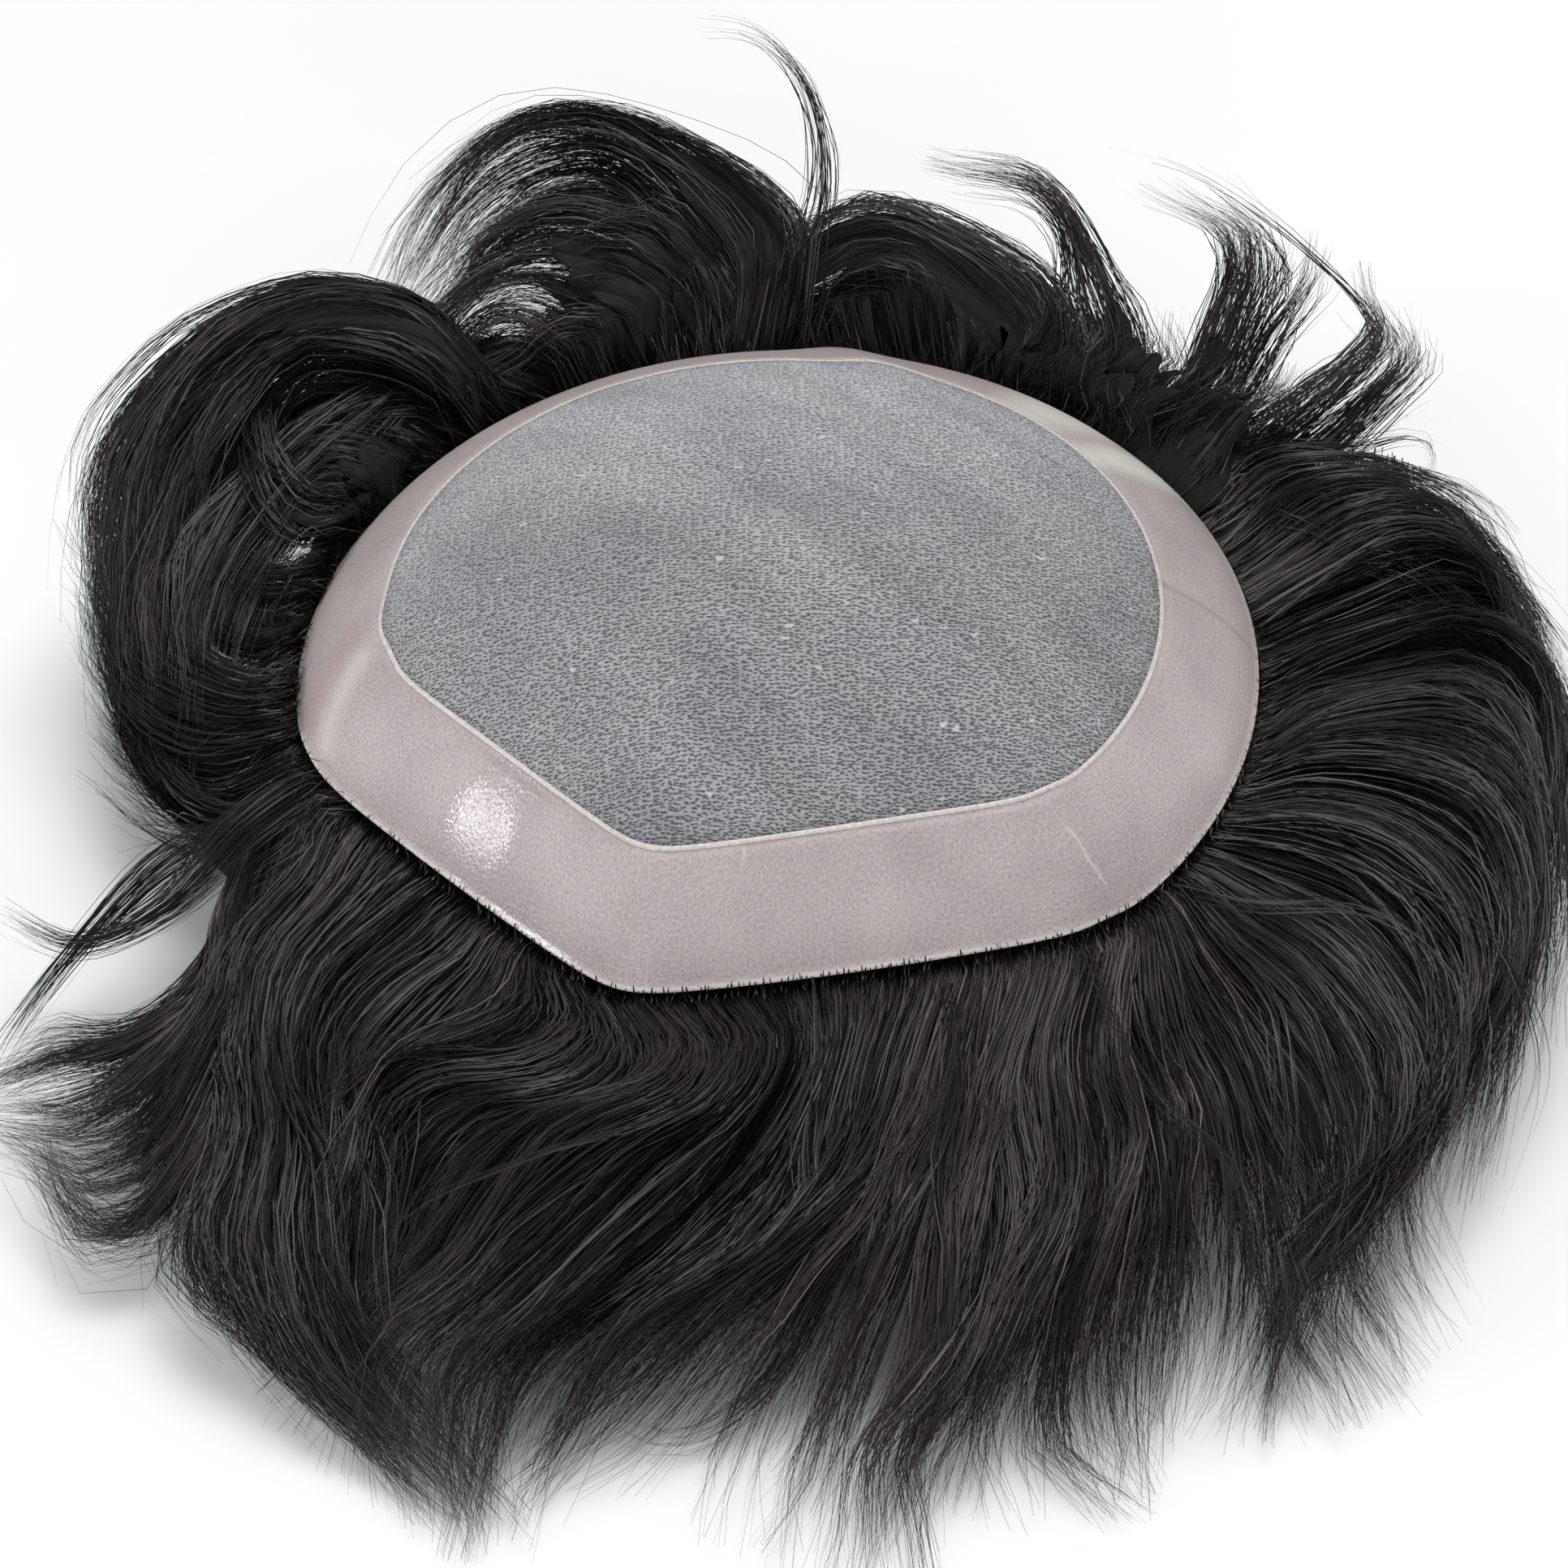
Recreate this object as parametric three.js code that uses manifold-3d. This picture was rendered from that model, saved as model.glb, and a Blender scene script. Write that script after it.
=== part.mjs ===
// A man's toupee, turned inside out and lying on its own hair.
// Millimetres, +Z up. The origin is on the floor under the middle of the base.
// Headings are degrees seen from above: 0 is to the right, 90 is the back edge, 270 the front edge.
import * as THREE from 'three';
import { mergeVertices } from 'three/addons/utils/BufferGeometryUtils.js';
import Module from 'manifold-3d';

const wasm = await Module();
wasm.setup();

// The base: a low dome with a round back and two straight edges that meet in a pointed front.
const BASE_RADIUS = 90;
const LEFT_EDGE_DISTANCE = 78;
const LEFT_EDGE_HEADING = 226;
const FRONT_EDGE_DISTANCE = 77;
const FRONT_EDGE_HEADING = 278;
const CORNER_SHARPNESS = 30;
const DOME_RISE = 35;
const DOME_ANGLE = 76;
const RIM_HEIGHT = 45;
const RIM_BACK_LIFT = 12;
const RIM_RIGHT_LIFT = 3;
const SHEET_THICKNESS = 1;
const STRIP_WIDTH = 25.4;
const BEAD_WIDTH = 1.2;
const BEAD_PROUD = 0.4;
const GAP = 0.3;

// The hair: how far it reaches from the middle, how high it rises, and the size of one lock.
// Its roots start in a band under the strip, and the hair of the middle is a fluted heap.
const HAIR_REACH = 160;
const HAIR_RISE = 100;
const LOCK_WIDTH = 25;
const LOCK_DEPTH = 11;
const ROOT_INSET = 8;
const ROOT_DROP = 5.2;
const BAND_WIDTH = 13;
const BAND_DEPTH = 5;
const BAND_GAP = 1;
const HEAP_FOOT_INSET = 17;
const HEAP_FLUTES = 12;
const HEAP_FLUTE_DEPTH = 7;
const HEAP_SWIRL = 35;

// The shape of a lock: how firmly it keeps its direction, how its tip relaxes, and how much
// narrower its root, narrower its tip and flatter its tip are, as shares.
const LINE_PULL = 1.2;
const TIP_RELAX = 0.3;
const ROOT_SLIM = 0.2;
const TIP_SLIM = 0.8;
const TIP_FLAT = 0.7;

// How finely the round shapes are divided.
const AROUND = 60;
const PANEL_RINGS = 3;
const STRIP_RINGS = 2;
const HEAP_SIDE_RINGS = 4;
const LOCK_STATIONS = 7;
const BAND_STEP = 12;
const MERGE = 2e-3;
const LOCK_SIDES = 6;
const FOOT = 3;

// Low folds in the dome. Each runs between two points of the plan, as shares of the base radius.
// Its height and width are shares of these two sizes.
const FOLD_HEIGHT = 1;
const FOLD_WIDTH = 5;
const FOLDS = [
  { fromX: -0.34, fromY: 0.55, toX: -0.20, toY: 0.30, height: 0.9, width: 1.4 },
  { fromX: 0.12, fromY: 0.95, toX: 0.27, toY: 0.62, height: 1.1, width: 1.2 },
  { fromX: -0.05, fromY: 0.10, toX: 0.52, toY: 0.18, height: -0.7, width: 1.8 },
  { fromX: -0.80, fromY: -0.08, toX: -0.98, toY: -0.22, height: 0.8, width: 1 },
  { fromX: 0.52, fromY: -0.56, toX: 0.64, toY: -0.72, height: 0.7, width: 0.8 },
];

// One row for each lock. root is its heading on the rim. The middle and the tip have a heading,
// a distance as a share of the hair's reach and a height as a share of its rise. hook turns the
// tip sideways, width is a share of the lock's width, and fill is how far it is solid to the floor.
const FRONT_LOCKS = [
  { root: 196, mid: [206, 0.74, 0.28], tip: [197, 0.92, 0.20], hook: 30, width: 0.8, fill: 0.3 },
  { root: 202, mid: [212, 0.81, 0.22], tip: [210, 1.00, 0.06], hook: -10, width: 1, fill: 1 },
  { root: 208, mid: [218, 0.83, 0.20], tip: [220, 1.04, 0.05], hook: 20, width: 1, fill: 1 },
  { root: 214, mid: [222, 0.82, 0.20], tip: [228, 1.00, 0.05], hook: 40, width: 1, fill: 1 },
  { root: 221, mid: [231, 0.80, 0.20], tip: [238, 1.00, 0.05], hook: 20, width: 1, fill: 1 },
  { root: 229, mid: [239, 0.80, 0.21], tip: [246, 1.07, 0.05], hook: 10, width: 1, fill: 1 },
  { root: 238, mid: [246, 0.76, 0.22], tip: [253, 1.16, 0.04], hook: 0, width: 1, fill: 1 },
  { root: 247, mid: [257, 0.78, 0.24], tip: [258, 1.12, 0.04], hook: -10, width: 1, fill: 1 },
  { root: 256, mid: [266, 0.81, 0.25], tip: [262, 1.02, 0.04], hook: 30, width: 1, fill: 1 },
  { root: 264, mid: [273, 0.80, 0.24], tip: [268, 1.10, 0.04], hook: 0, width: 1, fill: 1 },
  { root: 272, mid: [279, 0.83, 0.24], tip: [273, 1.17, 0.04], hook: 0, width: 1, fill: 1 },
  { root: 280, mid: [285, 0.81, 0.22], tip: [280, 1.13, 0.04], hook: 0, width: 1, fill: 1 },
  { root: 288, mid: [292, 0.80, 0.20], tip: [287, 1.12, 0.04], hook: 0, width: 1, fill: 1 },
];

const RIGHT_LOCKS = [
  { root: 296, mid: [300, 0.77, 0.20], tip: [296, 1.01, 0.04], hook: 0, width: 1, fill: 1 },
  { root: 304, mid: [310, 0.76, 0.22], tip: [301, 1.08, 0.04], hook: 0, width: 1, fill: 1 },
  { root: 312, mid: [319, 0.80, 0.24], tip: [307, 1.10, 0.04], hook: 0, width: 1, fill: 1 },
  { root: 320, mid: [329, 0.81, 0.26], tip: [315, 0.97, 0.06], hook: 0, width: 1, fill: 1 },
  { root: 328, mid: [339, 0.81, 0.28], tip: [325, 0.97, 0.08], hook: 0, width: 1, fill: 1 },
  { root: 336, mid: [349, 0.83, 0.30], tip: [335, 0.94, 0.12], hook: 0, width: 1, fill: 1 },
  { root: 345, mid: [359, 0.85, 0.32], tip: [346, 0.93, 0.16], hook: 0, width: 1, fill: 1 },
  { root: 354, mid: [368, 0.86, 0.36], tip: [359, 0.93, 0.22], hook: 0, width: 1, fill: 0.8 },
  { root: 364, mid: [376, 0.83, 0.40], tip: [374, 0.96, 0.24], hook: 0, width: 1, fill: 0.6 },
  { root: 373, mid: [383, 0.81, 0.44], tip: [382, 0.95, 0.40], hook: 0, width: 1, fill: 0.3 },
  { root: 382, mid: [391, 0.78, 0.50], tip: [386, 0.93, 0.45], hook: 0, width: 0.9, fill: 0.2 },
];

const BACK_LOCKS = [
  { root: 30, mid: [37, 0.80, 0.55], tip: [29, 0.86, 0.62], hook: 0, width: 0.9, fill: 0.1 },
  { root: 38, mid: [41, 0.78, 0.60], tip: [33, 0.88, 0.75], hook: 0, width: 0.8, fill: 0 },
  { root: 47, mid: [45, 0.78, 0.68], tip: [58, 0.85, 0.92], hook: 0, width: 0.6, fill: 0 },
  { root: 56, mid: [53, 0.71, 0.68], tip: [70, 0.74, 0.90], hook: 0, width: 0.6, fill: 0 },
  { root: 64, mid: [64, 0.66, 0.66], tip: [50, 0.70, 0.60], hook: 0, width: 0.9, fill: 0 },
  { root: 72, mid: [75, 0.67, 0.70], tip: [59, 0.73, 0.55], hook: 0, width: 1, fill: 0 },
  { root: 82, mid: [80, 0.71, 0.76], tip: [62, 0.74, 0.62], hook: 0, width: 1, fill: 0 },
  { root: 88, mid: [85, 0.64, 0.88], tip: [95, 1.00, 0.95], hook: 0, width: 0.35, fill: 0 },
  { root: 93, mid: [97, 0.75, 0.90], tip: [120, 0.92, 0.70], hook: 0, width: 1, fill: 0 },
  { root: 98, mid: [103, 0.82, 0.90], tip: [126, 0.82, 0.76], hook: 0, width: 1, fill: 0 },
  { root: 103, mid: [108, 0.71, 0.78], tip: [131, 0.74, 0.70], hook: 0, width: 1, fill: 0 },
];

const LEFT_LOCKS = [
  { root: 110, mid: [120, 0.72, 0.62], tip: [137, 0.82, 0.50], hook: 0, width: 0.8, fill: 0.1 },
  { root: 115, mid: [128, 0.85, 0.66], tip: [146, 1.03, 0.40], hook: 0, width: 0.5, fill: 0 },
  { root: 123, mid: [137, 0.80, 0.50], tip: [147, 0.92, 0.34], hook: 0, width: 0.9, fill: 0.2 },
  { root: 132, mid: [143, 0.84, 0.55], tip: [152, 0.96, 0.30], hook: 0, width: 0.9, fill: 0.2 },
  { root: 144, mid: [153, 0.77, 0.48], tip: [164, 0.87, 0.22], hook: 0, width: 1, fill: 0.4 },
  { root: 156, mid: [164, 0.73, 0.40], tip: [173, 0.82, 0.14], hook: 0, width: 1, fill: 0.7 },
  { root: 168, mid: [176, 0.70, 0.34], tip: [183, 0.76, 0.10], hook: 0, width: 1, fill: 1 },
  { root: 180, mid: [187, 0.66, 0.28], tip: [194, 0.76, 0.12], hook: 0, width: 1, fill: 1 },
  { root: 189, mid: [198, 0.68, 0.27], tip: [200, 0.84, 0.20], hook: 0, width: 0.8, fill: 0.6 },
];

const radians = THREE.MathUtils.degToRad;
const UP = new THREE.Vector3(0, 0, 1);

// Plan radius of the rim at a heading: a circle cut by the two straight edges, corners eased.
function rimRadius(heading) {
  let sum = BASE_RADIUS ** -CORNER_SHARPNESS;
  for (const [edgeHeading, distance] of [
    [LEFT_EDGE_HEADING, LEFT_EDGE_DISTANCE],
    [FRONT_EDGE_HEADING, FRONT_EDGE_DISTANCE],
  ]) {
    const facing = Math.max(Math.cos(heading - radians(edgeHeading)), 0);
    sum += (facing / distance) ** CORNER_SHARPNESS;
  }
  return sum ** (-1 / CORNER_SHARPNESS);
}

// Height of the rim at a heading: the base leans, its back edge lifted by the hair under it.
function rimHeight(heading) {
  return RIM_HEIGHT + RIM_BACK_LIFT * Math.sin(heading) + RIM_RIGHT_LIFT * Math.cos(heading);
}

// How far the folds lift the dome at a point of the plan.
function foldLift(x, y) {
  let lift = 0;
  for (const fold of FOLDS) {
    const start = new THREE.Vector2(fold.fromX, fold.fromY).multiplyScalar(BASE_RADIUS);
    const along = new THREE.Vector2(fold.toX, fold.toY).multiplyScalar(BASE_RADIUS).sub(start);
    const offset = new THREE.Vector2(x, y).sub(start);
    const share = THREE.MathUtils.clamp(offset.dot(along) / along.lengthSq(), 0, 1);
    const away = offset.addScaledVector(along, -share).length() / (FOLD_WIDTH * fold.width);
    lift += FOLD_HEIGHT * fold.height * Math.exp(-away * away);
  }
  return lift;
}

// A point of the dome's upper face. share runs from 0 at the top to 1 at the rim.
function domePoint(heading, share) {
  const angle = radians(DOME_ANGLE);
  const radius = rimRadius(heading) * Math.sin(angle * share) / Math.sin(angle);
  const drop = (1 - Math.cos(angle * share)) / (1 - Math.cos(angle));
  const x = radius * Math.cos(heading);
  const y = radius * Math.sin(heading);
  const z = (RIM_HEIGHT + DOME_RISE) * (1 - drop) + rimHeight(heading) * drop;
  return new THREE.Vector3(x, y, z + foldLift(x, y));
}

// The dome's outward direction at a point, from its neighbours.
function domeNormal(heading, share) {
  if (share < 0.02) {
    return UP.clone();
  }
  const step = 0.01;
  const along = domePoint(heading, share + step).sub(domePoint(heading, share - step));
  const round = domePoint(heading + step, share).sub(domePoint(heading - step, share));
  return along.cross(round).normalize();
}

// A point at a depth under the dome's upper face.
function underDome(heading, share, depth) {
  return domePoint(heading, share).addScaledVector(domeNormal(heading, share), -depth);
}

// The share of the profile that lies a given length along the surface in from the rim.
function shareFromRim(heading, length) {
  const steps = 100;
  let left = length;
  let last = domePoint(heading, 1);
  for (let i = 1; i < steps; i++) {
    const next = domePoint(heading, 1 - i / steps);
    const stride = next.distanceTo(last);
    if (left <= stride) {
      return 1 - (i - 1 + left / stride) / steps;
    }
    left -= stride;
    last = next;
  }
  return 1 / steps;
}

// A closed mesh from rings of points: each ring joins the next, and poles close the ends.
function closedRings(rings, firstPole, lastPole) {
  const count = rings[0].length;
  const points = rings.flat();
  const faces = [];
  for (let ring = 0; ring + 1 < rings.length; ring++) {
    for (let i = 0; i < count; i++) {
      const next = (i + 1) % count;
      const a = ring * count + i;
      const b = ring * count + next;
      const c = a + count;
      const d = b + count;
      faces.push(a, c, b, b, c, d);
    }
  }
  if (firstPole) {
    points.push(firstPole, lastPole);
    const first = points.length - 2;
    const end = (rings.length - 1) * count;
    for (let i = 0; i < count; i++) {
      const next = (i + 1) % count;
      faces.push(first, i, next, first + 1, end + next, end + i);
    }
  } else {
    const end = (rings.length - 1) * count;
    for (let i = 0; i < count; i++) {
      const next = (i + 1) % count;
      faces.push(end + i, i, end + next, end + next, i, next);
    }
  }
  const geometry = new THREE.BufferGeometry();
  geometry.setAttribute('position', new THREE.Float32BufferAttribute(
    points.flatMap((point) => point.toArray()), 3));
  geometry.setIndex(faces);
  return geometry;
}

const HEADINGS = Array.from({ length: AROUND }, (_, i) => 2 * Math.PI * i / AROUND);

// The rings of the dome from its top out to the edge of the mesh panel.
const PANEL_EDGE = HEADINGS.map((heading) => shareFromRim(heading, STRIP_WIDTH + BEAD_WIDTH + GAP));

function panelRings(depth) {
  return Array.from({ length: PANEL_RINGS }, (_, ring) => HEADINGS.map((heading, i) => (
    underDome(heading, PANEL_EDGE[i] * (ring + 1) / PANEL_RINGS, depth))));
}

// The mesh panel: a disc of the dome, one sheet thick.
function meshPanel() {
  const lower = panelRings(SHEET_THICKNESS).reverse();
  return closedRings([...panelRings(0), ...lower], underDome(0, 0, 0), underDome(0, 0, SHEET_THICKNESS));
}

// A band of the dome between two lengths in from the rim.
function domeBand(outerLength, innerLength, rings, top, bottom) {
  const upper = [];
  const lower = [];
  for (let ring = 0; ring <= rings; ring++) {
    const length = THREE.MathUtils.lerp(innerLength, outerLength, ring / rings);
    const shares = HEADINGS.map((heading) => shareFromRim(heading, length));
    upper.push(HEADINGS.map((heading, i) => underDome(heading, shares[i], top)));
    lower.unshift(HEADINGS.map((heading, i) => underDome(heading, shares[i], bottom)));
  }
  return closedRings([...upper, ...lower]);
}

// The plan radius of the heap at a heading and a depth, from 0 at its top to 1 at the floor.
function heapRadius(heading, depth, shoulder) {
  const foot = rimRadius(heading) - HEAP_FOOT_INSET;
  const flute = 0.5 + 0.5 * Math.cos(HEAP_FLUTES * (heading - radians(HEAP_SWIRL) * depth));
  return THREE.MathUtils.lerp(shoulder, foot, depth) - HEAP_FLUTE_DEPTH * flute * Math.sqrt(depth);
}

// The hair under the panel: a fluted heap, its top against the panel and its foot on the floor.
function crownHeap(grow) {
  const lift = SHEET_THICKNESS + GAP - grow;
  const rings = panelRings(lift);
  const shoulder = rings[rings.length - 1];
  for (let ring = 1; ring <= HEAP_SIDE_RINGS; ring++) {
    const depth = ring / HEAP_SIDE_RINGS;
    rings.push(HEADINGS.map((heading, i) => {
      const radius = heapRadius(heading, depth, Math.hypot(shoulder[i].x, shoulder[i].y)) + grow;
      const z = shoulder[i].z * (1 - depth) - grow * depth;
      return new THREE.Vector3(radius * Math.cos(heading), radius * Math.sin(heading), z);
    }));
  }
  return closedRings(rings, underDome(0, 0, lift), new THREE.Vector3(0, 0, -grow));
}

// A point round the middle from a heading, a share of the reach and a share of the rise.
function station([heading, out, rise]) {
  const angle = radians(heading);
  const radius = HAIR_REACH * out;
  return new THREE.Vector3(radius * Math.cos(angle), radius * Math.sin(angle), HAIR_RISE * rise);
}

// The rim's outward direction in plan at a heading.
function rimOutward(heading) {
  const step = 0.01;
  const ahead = rimRadius(heading + step);
  const behind = rimRadius(heading - step);
  const dx = ahead * Math.cos(heading + step) - behind * Math.cos(heading - step);
  const dy = ahead * Math.sin(heading + step) - behind * Math.sin(heading - step);
  return new THREE.Vector3(dy, -dx, 0).normalize();
}

// Where a lock starts: under the strip, a little inside the rim and a little below it.
function rootPoint(heading) {
  const radius = rimRadius(heading);
  const edge = new THREE.Vector3(radius * Math.cos(heading), radius * Math.sin(heading), rimHeight(heading));
  return edge.addScaledVector(rimOutward(heading), -ROOT_INSET).addScaledVector(UP, -ROOT_DROP);
}

// A smooth curve between two points with a slope at each end.
function hermite(from, fromSlope, to, toSlope, share) {
  const s = share;
  return from.clone().multiplyScalar(2 * s ** 3 - 3 * s ** 2 + 1)
    .addScaledVector(fromSlope, s ** 3 - 2 * s ** 2 + s)
    .addScaledVector(to, -2 * s ** 3 + 3 * s ** 2)
    .addScaledVector(toSlope, s ** 3 - s ** 2);
}

// The middle line of a lock: out from under the rim, through its middle point, to its tip.
function lockLine(lock) {
  const root = rootPoint(radians(lock.root));
  const middle = station(lock.mid);
  const tip = station(lock.tip);
  const first = middle.distanceTo(root);
  const second = tip.distanceTo(middle);
  const leave = rimOutward(radians(lock.root)).multiplyScalar(first * LINE_PULL);
  const through = middle.clone().sub(root).divideScalar(first)
    .add(tip.clone().sub(middle).divideScalar(second)).normalize();
  const arrive = tip.clone().sub(middle).addScaledVector(through, -second * TIP_RELAX)
    .applyAxisAngle(UP, radians(lock.hook)).normalize().multiplyScalar(second * LINE_PULL);
  return (share) => (share < 0.5
    ? hermite(root, leave, middle, through.clone().multiplyScalar(first * LINE_PULL), share * 2)
    : hermite(middle, through.clone().multiplyScalar(second * LINE_PULL), tip, arrive, share * 2 - 1));
}

// Half the width and half the depth of a lock along its length.
function lockHalfWidth(lock, share, grow) {
  const swell = (1 - ROOT_SLIM + ROOT_SLIM * Math.sin(Math.PI * share)) * (1 - TIP_SLIM * share ** 4);
  return LOCK_WIDTH / 2 * lock.width * swell + grow;
}

function lockHalfDepth(lock, share, grow) {
  return LOCK_DEPTH / 2 * Math.sqrt(lock.width) * (1 - TIP_FLAT * share ** 2) + grow;
}

// One lock: a tapering body along its line, filled down to below the floor where it rests.
function lockBody(lock, grow) {
  const line = lockLine(lock);
  const rings = [];
  for (let i = 0; i <= LOCK_STATIONS; i++) {
    const share = i / LOCK_STATIONS;
    const centre = line(share);
    const along = line(Math.min(share + 0.01, 1)).sub(line(Math.max(share - 0.01, 0))).normalize();
    const side = UP.clone().cross(along).normalize();
    const over = along.clone().cross(side);
    const width = lockHalfWidth(lock, share, grow);
    const depth = lockHalfDepth(lock, share, grow);
    const solidShare = lock.fill * (1 - share ** 4);
    const foot = THREE.MathUtils.lerp(depth, Math.max(centre.z + FOOT, depth), solidShare);
    const ring = [];
    for (let k = 0; k < LOCK_SIDES; k++) {
      const angle = Math.PI / 2 - 2 * Math.PI * k / LOCK_SIDES;
      const point = centre.clone().addScaledVector(side, width * Math.cos(angle));
      if (Math.sin(angle) > 0) {
        point.addScaledVector(over, depth * Math.sin(angle));
      } else {
        point.addScaledVector(UP, foot * THREE.MathUtils.lerp(Math.sin(angle), -1, solidShare));
      }
      ring.push(point);
    }
    rings.push(ring);
  }
  return closedRings(rings, line(0), line(1));
}

// The backing that the roots of neighbouring locks share: a band close under the strip.
function rootBand(locks, grow) {
  const from = radians(locks[0].root);
  const to = radians(locks[locks.length - 1].root);
  const count = Math.round((to - from) / radians(BAND_STEP));
  const rings = [];
  for (let i = 0; i <= count; i++) {
    const heading = THREE.MathUtils.lerp(from, to, i / count);
    const low = shareFromRim(heading, BAND_GAP);
    const high = shareFromRim(heading, BAND_WIDTH + grow);
    const face = SHEET_THICKNESS + BAND_GAP - grow;
    const back = face + BAND_DEPTH + 2 * grow;
    rings.push([
      underDome(heading, low, face),
      underDome(heading, high, face),
      underDome(heading, high, back),
      underDome(heading, low, back),
    ]);
  }
  return closedRings(rings, middleOf(rings[0]), middleOf(rings[count]));
}

// The middle of a few points.
function middleOf(points) {
  return points.reduce((sum, point) => sum.add(point), new THREE.Vector3()).divideScalar(points.length);
}

// A three.js mesh geometry as a solid that can be joined and cut.
function solid(geometry, tolerance = 1e-4) {
  const plain = geometry.clone();
  plain.deleteAttribute('normal');
  plain.deleteAttribute('uv');
  const merged = mergeVertices(plain, tolerance);
  return new wasm.Manifold(new wasm.Mesh({
    numProp: 3,
    vertProperties: new Float32Array(merged.attributes.position.array),
    triVerts: new Uint32Array(merged.index.array),
  }));
}

// A solid back as a geometry.
function geometryOf(body) {
  const mesh = body.getMesh();
  const geometry = new THREE.BufferGeometry();
  geometry.setAttribute('position', new THREE.Float32BufferAttribute(mesh.vertProperties, 3));
  geometry.setIndex(Array.from(mesh.triVerts));
  return geometry;
}

// The locks of one side with their backing, all joined.
function lockGroup(locks, grow) {
  let body = solid(rootBand(locks, grow));
  for (const lock of locks) {
    body = body.add(solid(lockBody(lock, grow)));
  }
  return body;
}

// The space that the dome takes, with a gap round it and the room straight above it.
function domeSpace() {
  const clear = SHEET_THICKNESS + 2 * GAP;
  const upper = [];
  const lower = [];
  for (const share of [0.5, 0.7, 0.85, 1]) {
    upper.push(HEADINGS.map((heading) => underDome(heading, share, -2 * GAP)
      .addScaledVector(UP, HAIR_RISE)));
    lower.unshift(HEADINGS.map((heading) => underDome(heading, share, clear)));
  }
  upper.push(HEADINGS.map((heading) => underDome(heading, 1, -2 * GAP).addScaledVector(UP, -2 * GAP)));
  return solid(closedRings([...upper, ...lower],
    underDome(0, 0, 0).addScaledVector(UP, HAIR_RISE), underDome(0, 0, clear)));
}

// Everything below the floor.
function underFloor() {
  const size = 4 * HAIR_REACH;
  const box = new THREE.BoxGeometry(size, size, size);
  box.translate(0, 0, -size / 2);
  return solid(box);
}

// The largest piece of a solid.
function largestPiece(body) {
  const pieces = body.decompose();
  pieces.sort((one, other) => other.volume() - one.volume());
  return pieces[0];
}

// One side's hair: its locks, clear of the base, the heap, the floor and its neighbours.
function hairSide(locks, neighbours) {
  let body = lockGroup(locks, 0).subtract(underFloor()).subtract(domeSpace());
  body = body.subtract(solid(crownHeap(GAP)));
  for (const other of neighbours) {
    body = body.subtract(lockGroup(other, GAP));
  }
  return geometryOf(largestPiece(solid(geometryOf(largestPiece(body)), MERGE)));
}

const HAIR_LOOK = { color: 0x1f1b1b, roughness: 0.5, metalness: 0 };

function piece(name, geometry, look) {
  const flat = geometry.toNonIndexed();
  flat.computeVertexNormals();
  const mesh = new THREE.Mesh(flat, new THREE.MeshStandardMaterial(look));
  mesh.name = name;
  return mesh;
}

const toupee = new THREE.Group();
toupee.add(piece('mono_panel', meshPanel(), { color: 0xa5a5a8, roughness: 0.7, metalness: 0 }));
toupee.add(piece('bond_bead',
  domeBand(STRIP_WIDTH + GAP, STRIP_WIDTH + BEAD_WIDTH, 1, -BEAD_PROUD, SHEET_THICKNESS),
  { color: 0xcdc6be, roughness: 0.35, metalness: 0 }));
toupee.add(piece('poly_rim', domeBand(0, STRIP_WIDTH, STRIP_RINGS, 0, SHEET_THICKNESS),
  { color: 0xb2a3a0, roughness: 0.25, metalness: 0 }));
toupee.add(piece('crown_hair', crownHeap(0), HAIR_LOOK));
toupee.add(piece('front_hair', hairSide(FRONT_LOCKS, []), HAIR_LOOK));
toupee.add(piece('right_hair', hairSide(RIGHT_LOCKS, [FRONT_LOCKS]), HAIR_LOOK));
toupee.add(piece('back_hair', hairSide(BACK_LOCKS, [RIGHT_LOCKS]), HAIR_LOOK));
toupee.add(piece('left_hair', hairSide(LEFT_LOCKS, [BACK_LOCKS, FRONT_LOCKS]), HAIR_LOOK));

export default toupee;
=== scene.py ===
import math
from functools import reduce
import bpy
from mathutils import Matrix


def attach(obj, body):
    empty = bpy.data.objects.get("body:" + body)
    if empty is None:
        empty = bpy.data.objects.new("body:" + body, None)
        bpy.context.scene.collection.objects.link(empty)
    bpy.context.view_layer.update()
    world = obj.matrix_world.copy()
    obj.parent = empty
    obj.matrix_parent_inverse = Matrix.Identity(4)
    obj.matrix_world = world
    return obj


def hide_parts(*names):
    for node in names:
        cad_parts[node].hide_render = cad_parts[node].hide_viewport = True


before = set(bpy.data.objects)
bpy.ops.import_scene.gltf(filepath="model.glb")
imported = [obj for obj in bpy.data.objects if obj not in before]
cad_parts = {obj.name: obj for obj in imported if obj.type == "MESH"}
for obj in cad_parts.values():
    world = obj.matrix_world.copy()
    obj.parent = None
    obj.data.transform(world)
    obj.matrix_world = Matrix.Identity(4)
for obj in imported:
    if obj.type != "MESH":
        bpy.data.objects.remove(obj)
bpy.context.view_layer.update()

from types import SimpleNamespace

import bmesh
import bpy
import numpy as np
from mathutils import Vector

# A toupee lying inside out on its own hair. Sizes are in millimetres until a mesh is made.
MM = 0.001
UP = np.array([0, 0, 1.0])

THINNING = 1

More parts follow.
